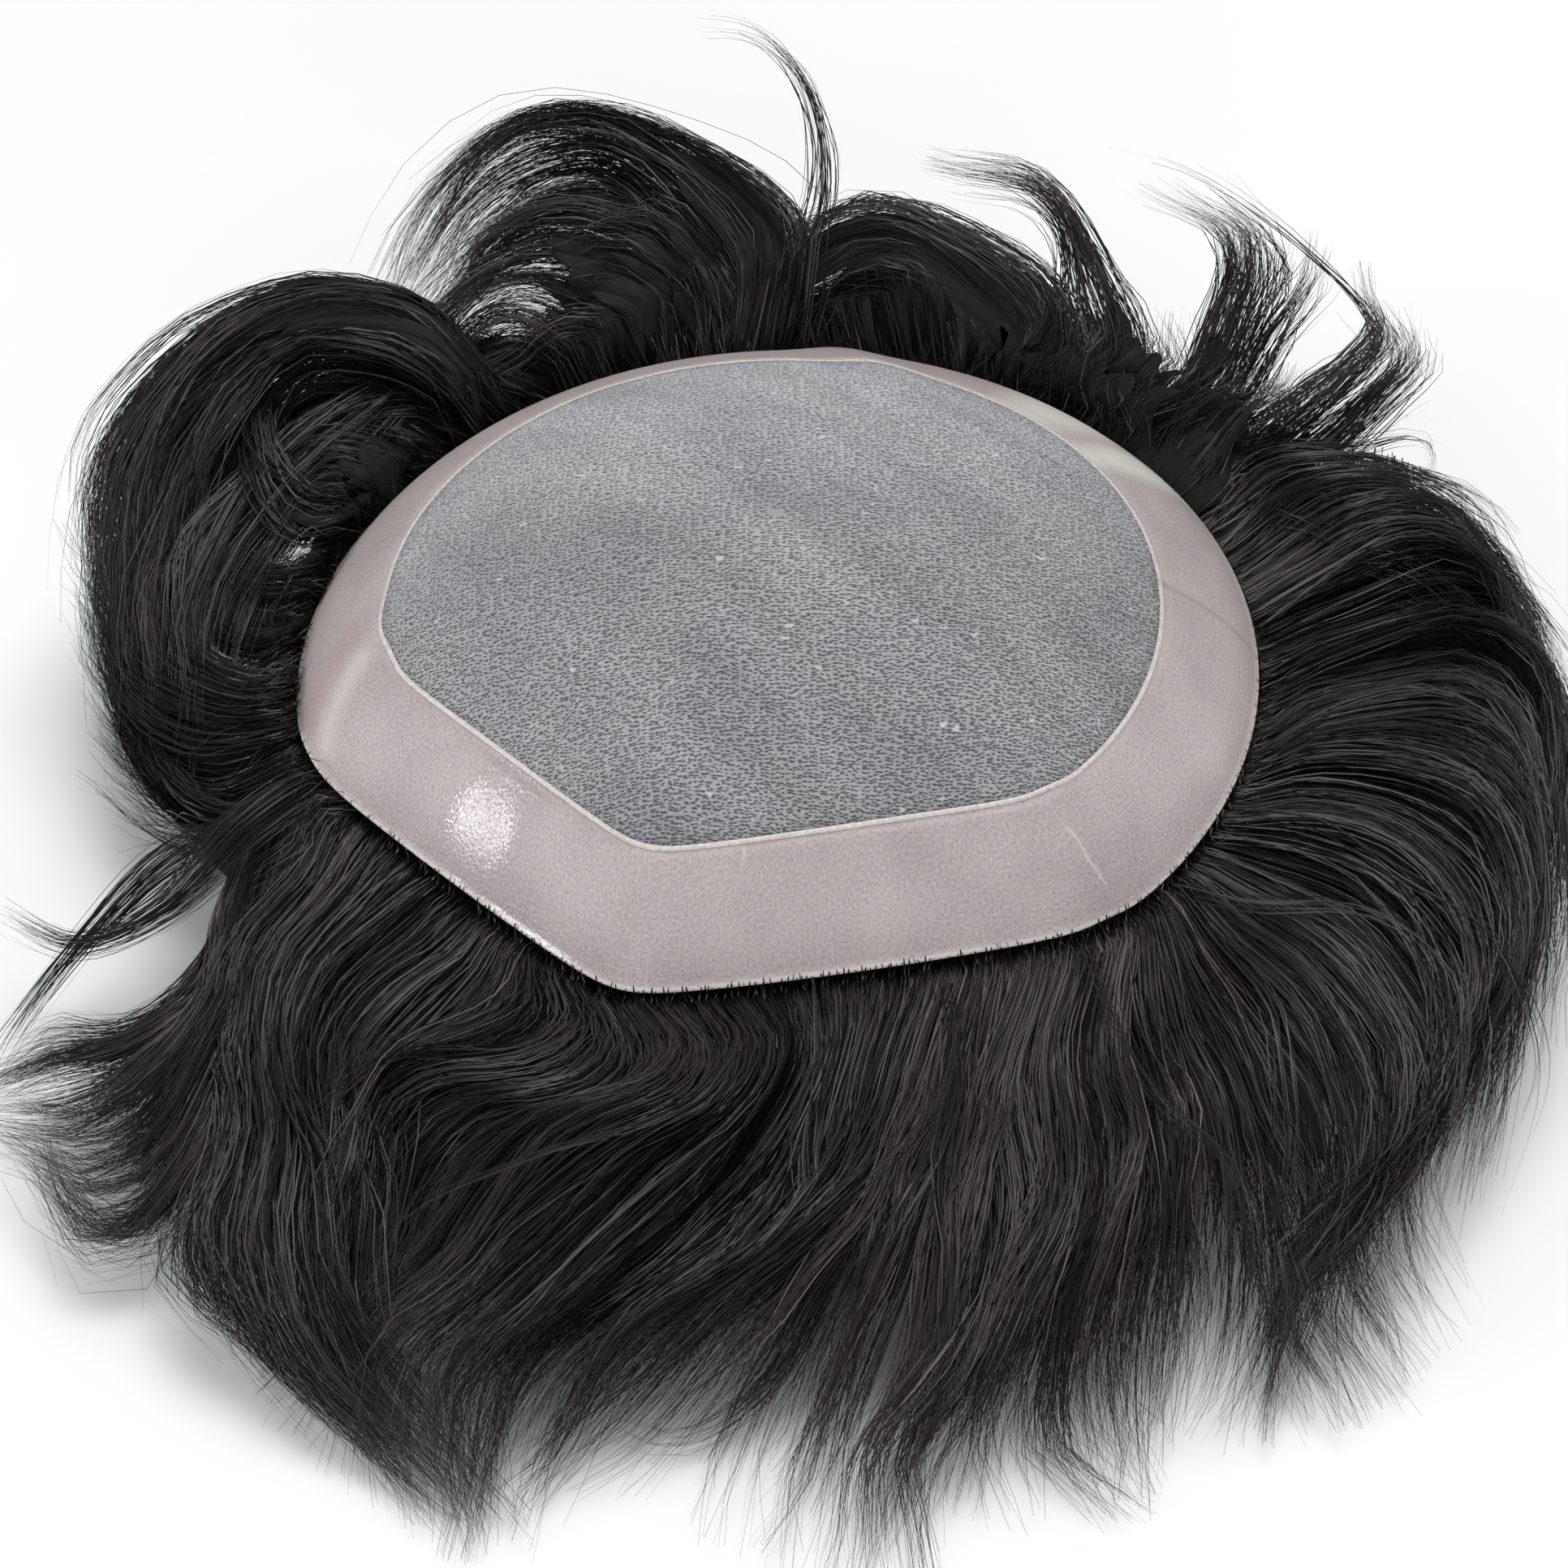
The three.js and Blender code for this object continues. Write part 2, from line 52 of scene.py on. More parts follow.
# Sizes that the part's own source uses.
BASE_RADIUS = 90
LEFT_EDGE = (226, 78)
FRONT_EDGE = (278, 77)
CORNER_SHARPNESS = 30
DOME_RISE = 35
DOME_ANGLE = math.radians(76)
RIM_HEIGHT = 45
RIM_BACK_LIFT = 12
RIM_RIGHT_LIFT = 3
SHEET_THICKNESS = 1
STRIP_WIDTH = 25.4
BEAD_WIDTH = 1.2
GAP = 0.3
HAIR_REACH = 160
HAIR_RISE = 100
ROOT_INSET = 8
ROOT_DROP = 5.2
HEAP_FOOT_INSET = 17
HEAP_FLUTES = 12
HEAP_FLUTE_DEPTH = 7
HEAP_SWIRL = math.radians(35)

# Low folds in the dome: start and end in the plan as shares of the base radius, height, width.
FOLDS = [
    (-0.34, 0.55, -0.20, 0.30, 0.9, 7),
    (0.12, 0.95, 0.27, 0.62, 1.1, 6),
    (-0.05, 0.10, 0.52, 0.18, -0.7, 9),
    (-0.80, -0.08, -0.98, -0.22, 0.8, 5),
    (0.52, -0.56, 0.64, -0.72, 0.7, 4),
]

# The hair's flow lines for each stream, in order round the base: root heading, then stations as
# (heading, reach, rise). Headings are in degrees, 0 to the right and 90 to the back, and go on
# past 360. The reach is in hundredths of HAIR_REACH and the rise in hundredths of HAIR_RISE.
FLOWS = {
    "front_left": [
        (189, (200, 62, 31), (207, 71, 27), (211, 79, 22), (211, 87, 18), (208, 93, 16), (210, 99, 16)),
        (192, (201, 63, 31), (210, 72, 28), (217, 81, 23), (220, 90, 18), (218, 97, 15), (214, 103, 15)),
        (195, (203, 62, 31), (214, 73, 28), (223, 83, 22), (226, 93, 18), (225, 100, 15), (219, 103, 15)),
        (198, (205, 62, 32), (215, 73, 29), (225, 84, 23), (229, 94, 19), (229, 102, 15), (226, 106, 14),
         (221, 103, 15)),
    ],
    "front": [
        (199, (207, 61, 30), (214, 72, 29), (222, 82, 27), (228, 91, 22), (231, 100, 16), (235, 105, 12),
         (239, 104, 8), (244, 106, 4)),
        (207, (213, 59, 31), (219, 70, 30), (227, 80, 28), (233, 89, 26), (236, 98, 21), (241, 105, 15),
         (246, 108, 10), (252, 113, 5)),
        (217, (218, 58, 30), (221, 68, 30), (226, 77, 28), (232, 84, 26), (238, 89, 23), (242, 96, 19),
         (247, 103, 12), (254, 114, 4)),
        (227, (229, 55, 31), (227, 63, 30), (228, 72, 29), (233, 80, 27), (238, 86, 24), (240, 93, 20),
         (243, 101, 13), (252, 111, 4)),
        (240, (245, 57, 30), (242, 65, 29), (236, 71, 27), (234, 78, 23), (237, 85, 18), (238, 91, 12),
         (237, 100, 5)),
        (248, (253, 59, 31), (252, 68, 30), (245, 74, 27), (242, 80, 22), (242, 88, 16), (241, 95, 10),
         (239, 104, 4)),
        (256, (261, 58, 30), (261, 68, 30), (255, 75, 28), (250, 82, 23), (247, 90, 17), (244, 98, 11),
         (245, 108, 4)),
        (264, (268, 57, 31), (266, 69, 30), (260, 76, 28), (255, 85, 24), (252, 94, 18), (250, 102, 12),
         (255, 115, 4)),
        (273, (274, 59, 30), (270, 71, 29), (264, 81, 26), (259, 90, 21), (256, 99, 14), (256, 116, 4)),
        (282, (279, 59, 30), (275, 71, 29), (270, 82, 25), (264, 90, 18), (260, 96, 11), (256, 106, 4)),
        (289, (283, 60, 30), (278, 71, 28), (274, 81, 24), (270, 90, 16), (266, 96, 9), (261, 103, 4)),
        (296, (288, 61, 30), (282, 73, 28), (278, 84, 24), (274, 93, 17), (270, 103, 8), (269, 112, 4)),
        (301, (292, 63, 30), (286, 76, 28), (282, 87, 24), (278, 97, 18), (273, 105, 10), (272, 117, 4)),
    ],
    "right": [
        (306, (297, 65, 30), (291, 79, 28), (286, 88, 22), (282, 97, 14), (275, 107, 4)),
        (311, (301, 66, 30), (295, 80, 28), (291, 90, 22), (287, 98, 15), (285, 106, 8), (287, 115, 4)),
        (314, (304, 67, 30), (299, 81, 27), (296, 90, 21), (292, 97, 13), (288, 108, 4)),
        (316, (307, 69, 34), (303, 83, 32), (300, 92, 24), (297, 98, 12), (294, 104, 5)),
        (319, (312, 69, 35), (309, 82, 34), (307, 91, 27), (303, 96, 17), (297, 103, 5)),
        (322, (318, 68, 35), (316, 82, 34), (313, 92, 30), (307, 99, 20), (302, 101, 12), (303, 110, 5)),
        (326, (325, 66, 35), (323, 80, 35), (319, 90, 32), (313, 98, 25), (307, 101, 15), (306, 112, 5)),
        (330, (334, 65, 36), (333, 77, 37), (327, 87, 34), (320, 94, 25), (313, 97, 14), (311, 109, 5)),
        (336, (342, 64, 40), (342, 75, 42), (336, 86, 38), (329, 92, 29), (321, 94, 18), (314, 97, 9)),
        (346, (353, 62, 43), (356, 74, 46), (357, 82, 42), (348, 90, 31), (338, 92, 21), (328, 92, 12)),
        (360, (364, 63, 47), (367, 77, 50), (368, 88, 43), (362, 93, 34), (350, 92, 23), (341, 91, 16)),
        (374, (376, 64, 52), (376, 76, 56), (376, 86, 52), (371, 91, 45), (362, 92, 36)),
        (387, (389, 64, 55), (386, 72, 59), (384, 81, 59), (381, 87, 54), (375, 88, 46)),
    ],
    "right_back": [
        (385, (386, 63, 55), (385, 73, 59), (388, 82, 60)),
        (395, (396, 61, 58), (394, 70, 63), (396, 78, 66)),
        (405, (404, 61, 60), (403, 66, 66), (407, 72, 71)),
        (414, (411, 60, 62), (414, 63, 69), (421, 66, 74)),
    ],
    "tuft_1": [
        (387, (389, 64, 55), (386, 72, 59), (385, 82, 61), (388, 90, 61), (392, 96, 60)),
        (391, (393, 64, 56), (388, 70, 61), (387, 78, 64), (389, 86, 67), (396, 96, 67)),
        (395, (397, 63, 57), (391, 70, 63), (390, 78, 68), (394, 89, 72), (400, 95, 73)),
    ],
    "tuft_2": [
        (399, (399, 62, 59), (396, 70, 66), (396, 77, 72), (401, 92, 78)),
        (402, (400, 62, 60), (397, 70, 67), (398, 77, 74), (402, 87, 82)),
    ],
    "tuft_3": [
        (404, (402, 62, 61), (399, 69, 67), (399, 76, 76), (401, 81, 84), (408, 82, 92)),
        (408, (403, 61, 61), (401, 68, 69), (402, 74, 77), (406, 78, 87), (414, 78, 92)),
    ],
    "tuft_4": [
        (412, (406, 61, 63), (408, 66, 75), (412, 68, 84), (420, 71, 91), (434, 71, 94)),
        (416, (411, 60, 63), (413, 65, 75), (417, 68, 83), (424, 70, 90), (432, 70, 92)),
    ],
    "mound": [
        (417, (412, 60, 66), (420, 65, 77), (430, 68, 83), (441, 69, 81), (450, 62, 72), (458, 55, 64)),
        (424, (417, 59, 67), (425, 62, 76), (434, 64, 79), (443, 63, 76), (452, 57, 68)),
        (431, (423, 56, 66), (431, 58, 73), (440, 58, 73), (449, 56, 68)),
        (438, (432, 56, 63), (440, 57, 68), (449, 57, 67), (457, 57, 63)),
        (446, (442, 56, 62), (448, 57, 66), (456, 57, 64), (463, 57, 61)),
    ],
    "curl": [
        (450, (450, 55, 66), (448, 62, 78), (453, 70, 89), (462, 82, 95), (472, 88, 91), (482, 86, 78),
         (487, 83, 69)),
        (455, (455, 53, 66), (453, 60, 77), (458, 69, 89), (466, 80, 94), (475, 84, 87), (485, 80, 73),
         (490, 77, 66)),
        (458, (457, 55, 65), (457, 61, 78), (462, 70, 87), (470, 79, 86), (480, 79, 75), (486, 76, 67)),
    ],
    "curl_root": [
        (447, (449, 56, 65), (453, 62, 76), (461, 68, 83), (470, 71, 82)),
        (453, (455, 56, 64), (460, 61, 73), (468, 66, 78), (477, 67, 76)),
        (460, (462, 55, 63), (468, 59, 69), (476, 62, 70), (484, 62, 67)),
        (467, (469, 56, 61), (476, 58, 65), (484, 59, 65), (491, 60, 61)),
    ],
    "inner_curl": [
        (461, (460, 55, 65), (462, 61, 76), (470, 70, 83), (480, 74, 78), (491, 70, 66), (497, 67, 59)),
        (466, (466, 54, 64), (471, 61, 74), (479, 67, 75), (489, 66, 67), (497, 64, 59)),
        (472, (474, 55, 62), (480, 60, 67), (488, 62, 65), (497, 62, 58)),
    ],
    "sweep": [
        (478, (488, 57, 62), (490, 68, 73), (495, 84, 77), (505, 92, 68), (514, 93, 55), (526, 87, 38)),
        (482, (490, 56, 62), (492, 68, 73), (499, 81, 74), (509, 87, 64), (519, 86, 49), (532, 79, 33),
         (544, 74, 20)),
        (486, (492, 56, 61), (495, 67, 71), (501, 77, 71), (511, 79, 60), (522, 76, 48), (536, 70, 34)),
        (490, (494, 56, 60), (497, 66, 69), (503, 74, 67), (512, 73, 57), (523, 70, 47), (536, 66, 37)),
    ],
    "rim_band": [
        (468, (474, 59, 61), (485, 62, 62), (498, 63, 59), (512, 63, 53), (526, 63, 47), (538, 64, 42)),
        (477, (482, 60, 61), (493, 66, 63), (506, 68, 59), (518, 69, 52), (531, 69, 44), (543, 68, 36)),
        (488, (494, 60, 59), (503, 68, 61), (513, 73, 55), (524, 75, 46), (537, 72, 34), (548, 70, 24)),
    ],
    "left_veil": [
        (474, (479, 58, 60), (488, 68, 63), (498, 77, 60), (510, 80, 53), (524, 77, 42), (538, 72, 32)),
        (484, (490, 58, 58), (499, 70, 59), (510, 77, 52), (524, 78, 42), (540, 74, 28)),
    ],
    "curl_veil": [
        (451, (453, 57, 66), (457, 66, 78), (465, 76, 84), (474, 79, 79), (484, 76, 69)),
        (457, (459, 56, 65), (465, 65, 76), (474, 72, 77), (484, 71, 68), (492, 68, 60)),
    ],
    "back_root": [
        (398, (397, 59, 60), (396, 63, 65), (396, 67, 67)),
        (412, (412, 58, 61), (413, 61, 67), (415, 64, 70)),
        (426, (427, 57, 62), (428, 60, 68), (430, 62, 70)),
        (440, (441, 57, 62), (443, 59, 67), (445, 60, 68)),
        (454, (455, 57, 62), (458, 59, 66), (461, 61, 66)),
        (468, (470, 58, 60), (473, 61, 62), (476, 64, 59)),
    ],
    "left_root": [
        (470, (475, 59, 59), (480, 63, 60), (484, 67, 56)),
        (480, (486, 59, 57), (491, 64, 58), (494, 68, 52)),
        (490, (496, 59, 55), (500, 64, 55), (503, 69, 49)),
        (505, (510, 58, 52), (514, 63, 51), (517, 68, 45)),
        (520, (524, 58, 48), (527, 63, 46), (529, 68, 39)),
        (535, (538, 58, 44), (540, 63, 42), (542, 68, 34)),
        (550, (552, 58, 40), (554, 63, 37), (555, 68, 28)),
        (563, (564, 58, 36), (565, 62, 32), (566, 67, 22)),
    ],
    "nook": [
        (494, (499, 58, 58), (502, 65, 62), (507, 69, 58), (513, 70, 50)),
        (499, (506, 57, 56), (510, 64, 58), (514, 67, 53)),
        (505, (511, 57, 54), (516, 63, 54), (521, 66, 48)),
    ],
    "side_1": [
        (502, (509, 56, 55), (513, 60, 57), (511, 68, 59), (501, 82, 60)),
        (510, (516, 56, 54), (520, 60, 55), (517, 68, 57), (508, 82, 57)),
    ],
    "side_2": [
        (517, (523, 56, 52), (526, 61, 52), (520, 71, 53), (506, 87, 52)),
        (524, (528, 56, 49), (531, 61, 49), (525, 71, 49), (513, 84, 48), (504, 95, 46)),
        (530, (535, 56, 47), (537, 61, 47), (529, 71, 45), (516, 86, 43), (503, 102, 39)),
    ],
    "side_3": [
        (536, (541, 56, 45), (542, 62, 44), (533, 72, 41), (519, 85, 38), (504, 102, 34)),
        (543, (548, 56, 43), (548, 63, 41), (539, 72, 36), (524, 84, 31), (511, 97, 27)),
        (550, (552, 57, 40), (552, 63, 37), (544, 72, 30), (530, 82, 24), (520, 91, 21)),
        (557, (557, 58, 35), (557, 63, 30), (550, 71, 23), (539, 79, 15)),
    ],
}

# The streams: name, the CAD node that it stands for, how thick its hair lies, its depth in
# millimetres, how far it is piled up from the floor, and the share of its length that has a
# dense body.
STREAMS = [
    ("front_left", "front_hair", 3.0, 10, 0.5, 0.80),
    ("front", "front_hair", 1.1, 10, 1.0, 0.76),
    ("right", "right_hair", 0.92, 10, 1.0, 0.72),
    ("right_back", "right_hair", 1.2, 10, 0.0, 0.80),
    ("tuft_1", "right_hair", 1.1, 8, 0.0, 0.55),
    ("tuft_2", "back_hair", 1.1, 6, 0.0, 0.45),
    ("tuft_3", "back_hair", 1.5, 7, 0.0, 0.60),
    ("tuft_4", "back_hair", 1.2, 7, 0.0, 0.50),
    ("mound", "back_hair", 1.6, 9, 0.0, 1.10),
    ("curl", "back_hair", 1.5, 10, 0.0, 0.50),
    ("curl_root", "back_hair", 1.3, 9, 0.0, 0.85),
    ("inner_curl", "back_hair", 1.2, 10, 0.0, 0.60),
    ("sweep", "left_hair", 1.2, 8, 0.0, 0.55),
    ("rim_band", "left_hair", 1.2, 9, 0.0, 0.85),
    ("left_veil", "left_hair", 0.9, 6, 0.0, 0.80),
    ("curl_veil", "back_hair", 2.2, 7, 0.0, 0.75),
    ("back_root", "back_hair", 1.0, 7, 0.0, 0.90),
    ("left_root", "left_hair", 1.0, 8, 0.3, 0.90),
    ("nook", "left_hair", 1.1, 9, 0.0, 0.70),
    ("side_1", "left_hair", 1.0, 8, 0.0, 0.55),
    ("side_2", "left_hair", 1.1, 10, 0.1, 0.60),
    ("side_3", "left_hair", 1.2, 11, 0.6, 0.66),
]

# Thin loose wisps: node, hairs, root heading and stations as above.
WISPS = [
    ("back_hair", 34, 456, (457, 55, 62), (450, 55, 74), (445, 60, 88), (447, 79, 97), (452, 99, 95),
     (456, 108, 90)),
    ("front_hair", 70, 276, (275, 60, 28), (273, 74, 26), (273, 86, 16), (269, 94, 6), (264, 100, 3),
     (259, 97, 3)),
    ("left_hair", 90, 556, (561, 65, 36), (563, 75, 26), (561, 85, 18), (554, 93, 16)),
    ("left_hair", 60, 559, (558, 61, 32), (557, 72, 27), (560, 82, 20), (565, 95, 10), (569, 101, 8)),
    ("right_hair", 12, 391, (393, 64, 56), (390, 74, 62), (394, 90, 68), (404, 92, 76), (415, 90, 85),
     (421, 86, 88)),
    ("left_hair", 16, 552, (555, 58, 37), (559, 68, 34), (556, 74, 32), (549, 77, 33)),
    ("right_hair", 12, 322, (323, 66, 40), (327, 78, 42), (325, 90, 38), (317, 99, 28), (309, 106, 16)),
    ("right_hair", 9, 308, (303, 66, 36), (300, 80, 36), (302, 90, 30), (299, 100, 18), (291, 106, 8)),
    ("right_hair", 11, 345, (350, 64, 48), (353, 76, 51), (349, 86, 47), (338, 93, 35), (326, 97, 22),
     (317, 103, 12)),
    ("right_hair", 7, 335, (336, 66, 42), (331, 78, 44), (330, 90, 39), (326, 100, 27), (316, 106, 15)),
    ("front_hair", 10, 291, (288, 61, 34), (283, 72, 34), (273, 84, 29), (265, 93, 20), (262, 104, 9)),
    ("front_hair", 9, 262, (266, 58, 34), (262, 70, 34), (251, 80, 31), (244, 90, 24), (244, 102, 12)),
]


# The dome

PROFILE_STEPS = 140
HEADING_STEP = 0.01
SHARE_STEP = 0.01
MIDDLE_SHARE = 0.03


def polar(heading, radius, height):
    """Points at a heading, a distance from the middle and a height."""
    return np.stack(np.broadcast_arrays(radius * np.cos(heading), radius * np.sin(heading), height), -1)


def headings(count):
    """Even steps all the way round."""
    return np.linspace(0, math.tau, count, endpoint=False)


def rim_radius(heading):
    total = BASE_RADIUS ** -float(CORNER_SHARPNESS)
    for edge_heading, distance in (LEFT_EDGE, FRONT_EDGE):
        facing = np.clip(np.cos(heading - math.radians(edge_heading)), 0, None)
        total = total + (facing / distance) ** CORNER_SHARPNESS
    return total ** (-1 / CORNER_SHARPNESS)


def rim_height(heading):
    return RIM_HEIGHT + RIM_BACK_LIFT * np.sin(heading) + RIM_RIGHT_LIFT * np.cos(heading)


def fold_lift(x, y):
    lift = np.zeros_like(x)
    for from_x, from_y, to_x, to_y, height, width in FOLDS:
        start = np.array([from_x, from_y]) * BASE_RADIUS
        along = np.array([to_x, to_y]) * BASE_RADIUS - start
        share = ((x - start[0]) * along[0] + (y - start[1]) * along[1]) / (along @ along)
        share = np.clip(share, 0, 1)
        away_x = x - start[0] - share * along[0]
        away_y = y - start[1] - share * along[1]
        lift = lift + height * np.exp(-(away_x ** 2 + away_y ** 2) / width ** 2)
    return lift


def dome_point(heading, share):
    radius = rim_radius(heading) * np.sin(DOME_ANGLE * share) / math.sin(DOME_ANGLE)
    drop = (1 - np.cos(DOME_ANGLE * share)) / (1 - math.cos(DOME_ANGLE))
    point = polar(heading, radius, (RIM_HEIGHT + DOME_RISE) * (1 - drop) + rim_height(heading) * drop)
    point[..., 2] += fold_lift(point[..., 0], point[..., 1])
    return point


def unit(v):
    return v / np.maximum(np.linalg.norm(v, axis=-1, keepdims=True), 1e-9)


def dome_normal(heading, share):
    share = np.maximum(share, MIDDLE_SHARE)
    along = dome_point(heading, share + SHARE_STEP) - dome_point(heading, share - SHARE_STEP)
    around = dome_point(heading + HEADING_STEP, share) - dome_point(heading - HEADING_STEP, share)
    return unit(np.cross(along, around))


def under_dome(heading, share, depth):
    return dome_point(heading, share) - dome_normal(heading, share) * np.asarray(depth)[..., None]


def share_from_rim(heading, length):
    """The share of the profile that lies a length in from the rim, for arrays of headings."""
    shares = np.linspace(1, 0.01, PROFILE_STEPS)
    points = dome_point(heading[..., None], shares)
    run = np.linalg.norm(np.diff(points, axis=-2), axis=-1)
    run = np.concatenate([np.zeros_like(run[..., :1]), np.cumsum(run, -1)], -1)
    flat_run = run.reshape(-1, run.shape[-1])
    lengths = np.broadcast_to(length, heading.shape).reshape(-1)
    found = [np.interp(one, row, shares) for one, row in zip(lengths, flat_run)]
    return np.array(found).reshape(heading.shape)


def rim_point(heading):
    return polar(heading, rim_radius(heading), rim_height(heading))


def rim_outward(heading):
    return unit(np.cross(rim_point(heading + HEADING_STEP) - rim_point(heading - HEADING_STEP), UP))


# Meshes

def new_object(name, data):
    thing = bpy.data.objects.new(name, data)
    bpy.context.scene.collection.objects.link(thing)
    return thing


def make_mesh(name, vertices, faces, uv, tone=None):
    """A smooth mesh object from arrays in millimetres, with a UV and maybe a tone for each vertex."""
    mesh = bpy.data.meshes.new(name)
    count, sides = faces.shape
    mesh.vertices.add(len(vertices))
    mesh.vertices.foreach_set("co", (vertices * MM).astype(np.float32).ravel())
    mesh.loops.add(count * sides)
    mesh.loops.foreach_set("vertex_index", faces.astype(np.int32).ravel())
    mesh.polygons.add(count)
    mesh.polygons.foreach_set("loop_start", np.arange(0, count * sides, sides, dtype=np.int32))
    mesh.polygons.foreach_set("use_smooth", np.ones(count, bool))
    mesh.update(calc_edges=True)
    layer = mesh.uv_layers.new(name="UVMap")
    layer.data.foreach_set("uv", uv[faces.ravel()].astype(np.float32).ravel())
    if tone is not None:
        attribute = mesh.attributes.new("tone", "FLOAT", "POINT")
        attribute.data.foreach_set("value", tone.astype(np.float32))
    mesh.validate()
    return new_object(name, mesh)


def finish_piece(piece, material, slot, *nodes):
    piece.data.materials.append(material)
    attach(piece, "root")
    if nodes:
        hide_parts(*nodes)


def ring_faces(rings, around, close_rings=False):
    """Quads between rings of points that go round, as indices."""
    ring = np.arange(rings if close_rings else rings - 1)[:, None]
    column = np.arange(around)[None, :]
    following = (column + 1) % around
    above = ((ring + 1) % rings) * around
    here = ring * around
    quads = np.stack([here + column, above + column, above + following, here + following], -1)
    return quads.reshape(-1, 4)


# Materials

class Nodes:
    """Small helper that adds nodes to a material and joins them."""

    def __init__(self, name):
        self.material = bpy.data.materials.new(name)
        self.material.use_nodes = True
        self.tree = self.material.node_tree
        self.shader = self.tree.nodes["Principled BSDF"]

    def fill(self, node, inputs):
        """Links or sets each named input of a node."""
        for key, value in inputs.items():
            if isinstance(value, bpy.types.NodeSocket):
                self.tree.links.new(value, node.inputs[key])
            else:
                node.inputs[key].default_value = value

    def surface(self, inputs):
        """Links or sets inputs of the material's own shader."""
        self.fill(self.shader, inputs)

    def add(self, kind, inputs, **settings):
        node = self.tree.nodes.new(kind)
        for key, value in settings.items():
            setattr(node, key, value)
        self.fill(node, inputs)
        return node

    def math(self, operation, *values):
        return self.add("ShaderNodeMath", dict(enumerate(values)), operation=operation).outputs[0]

    def plus(self, a, b):
        return self.math("ADD", a, b)

    def times(self, a, b):
        return self.math("MULTIPLY", a, b)

    def vector(self, operation, *values, out=0):
        return self.add("ShaderNodeVectorMath", dict(enumerate(values)), operation=operation).outputs[out]

    def scale(self, vector, factor):
        inputs = {0: vector, "Scale": factor}
        return self.add("ShaderNodeVectorMath", inputs, operation="SCALE").outputs[0]

    def span(self, *values):
        """A value stretched from one range to another, 0 to 1 if not given, and held at its ends."""
        return self.add("ShaderNodeMapRange", dict(enumerate(values))).outputs[0]

    def ramp(self, value, *stops):
        """A blend of colours along a value, with a place and a colour for each stop."""
        node = self.add("ShaderNodeValToRGB", {0: value})
        while len(node.color_ramp.elements) < len(stops):
            node.color_ramp.elements.new(0.5)
        for element, (place, colour) in zip(node.color_ramp.elements, stops):
            element.position = place
            element.color = (*colour, 1)
        return node.outputs["Color"]

    def mix(self, factor, a, b, blend="MIX"):
        inputs = {"Factor": factor, 6: a, 7: b}
        return self.add("ShaderNodeMix", inputs, data_type="RGBA", blend_type=blend).outputs[2]

    def wash(self, colour, mask, strength, paint):
        """The colour with a paint laid over it where the mask is 1."""
        return self.mix(self.times(mask, strength), colour, (*paint, 1))

    def shade(self, colour, value, *stops):
        """The colour multiplied by a ramp along a value."""
        return self.mix(1.0, colour, self.ramp(value, *stops), "MULTIPLY")

    def bump(self, height, distance, strength):
        inputs = {"Height": height, "Distance": distance, "Strength": strength}
        return self.add("ShaderNodeBump", inputs).outputs[0]

    def uv(self):
        return self.add("ShaderNodeTexCoord", {}).outputs["UV"]

    def stretch(self, place, x, y, turn=0.0):
        inputs = {"Vector": place, "Scale": (x, y, 1), "Rotation": (0, 0, turn)}
        return self.add("ShaderNodeMapping", inputs).outputs[0]

    def noise(self, place, scale, detail=2.0, roughness=0.5, out="Fac"):
        inputs = {"Vector": place, "Scale": scale, "Detail": detail, "Roughness": roughness}
        return self.add("ShaderNodeTexNoise", inputs).outputs[out]

    def cells(self, place, scale, randomness, **settings):
        inputs = {"Vector": place, "Scale": scale, "Randomness": randomness}
        return self.add("ShaderNodeTexVoronoi", inputs, **settings).outputs


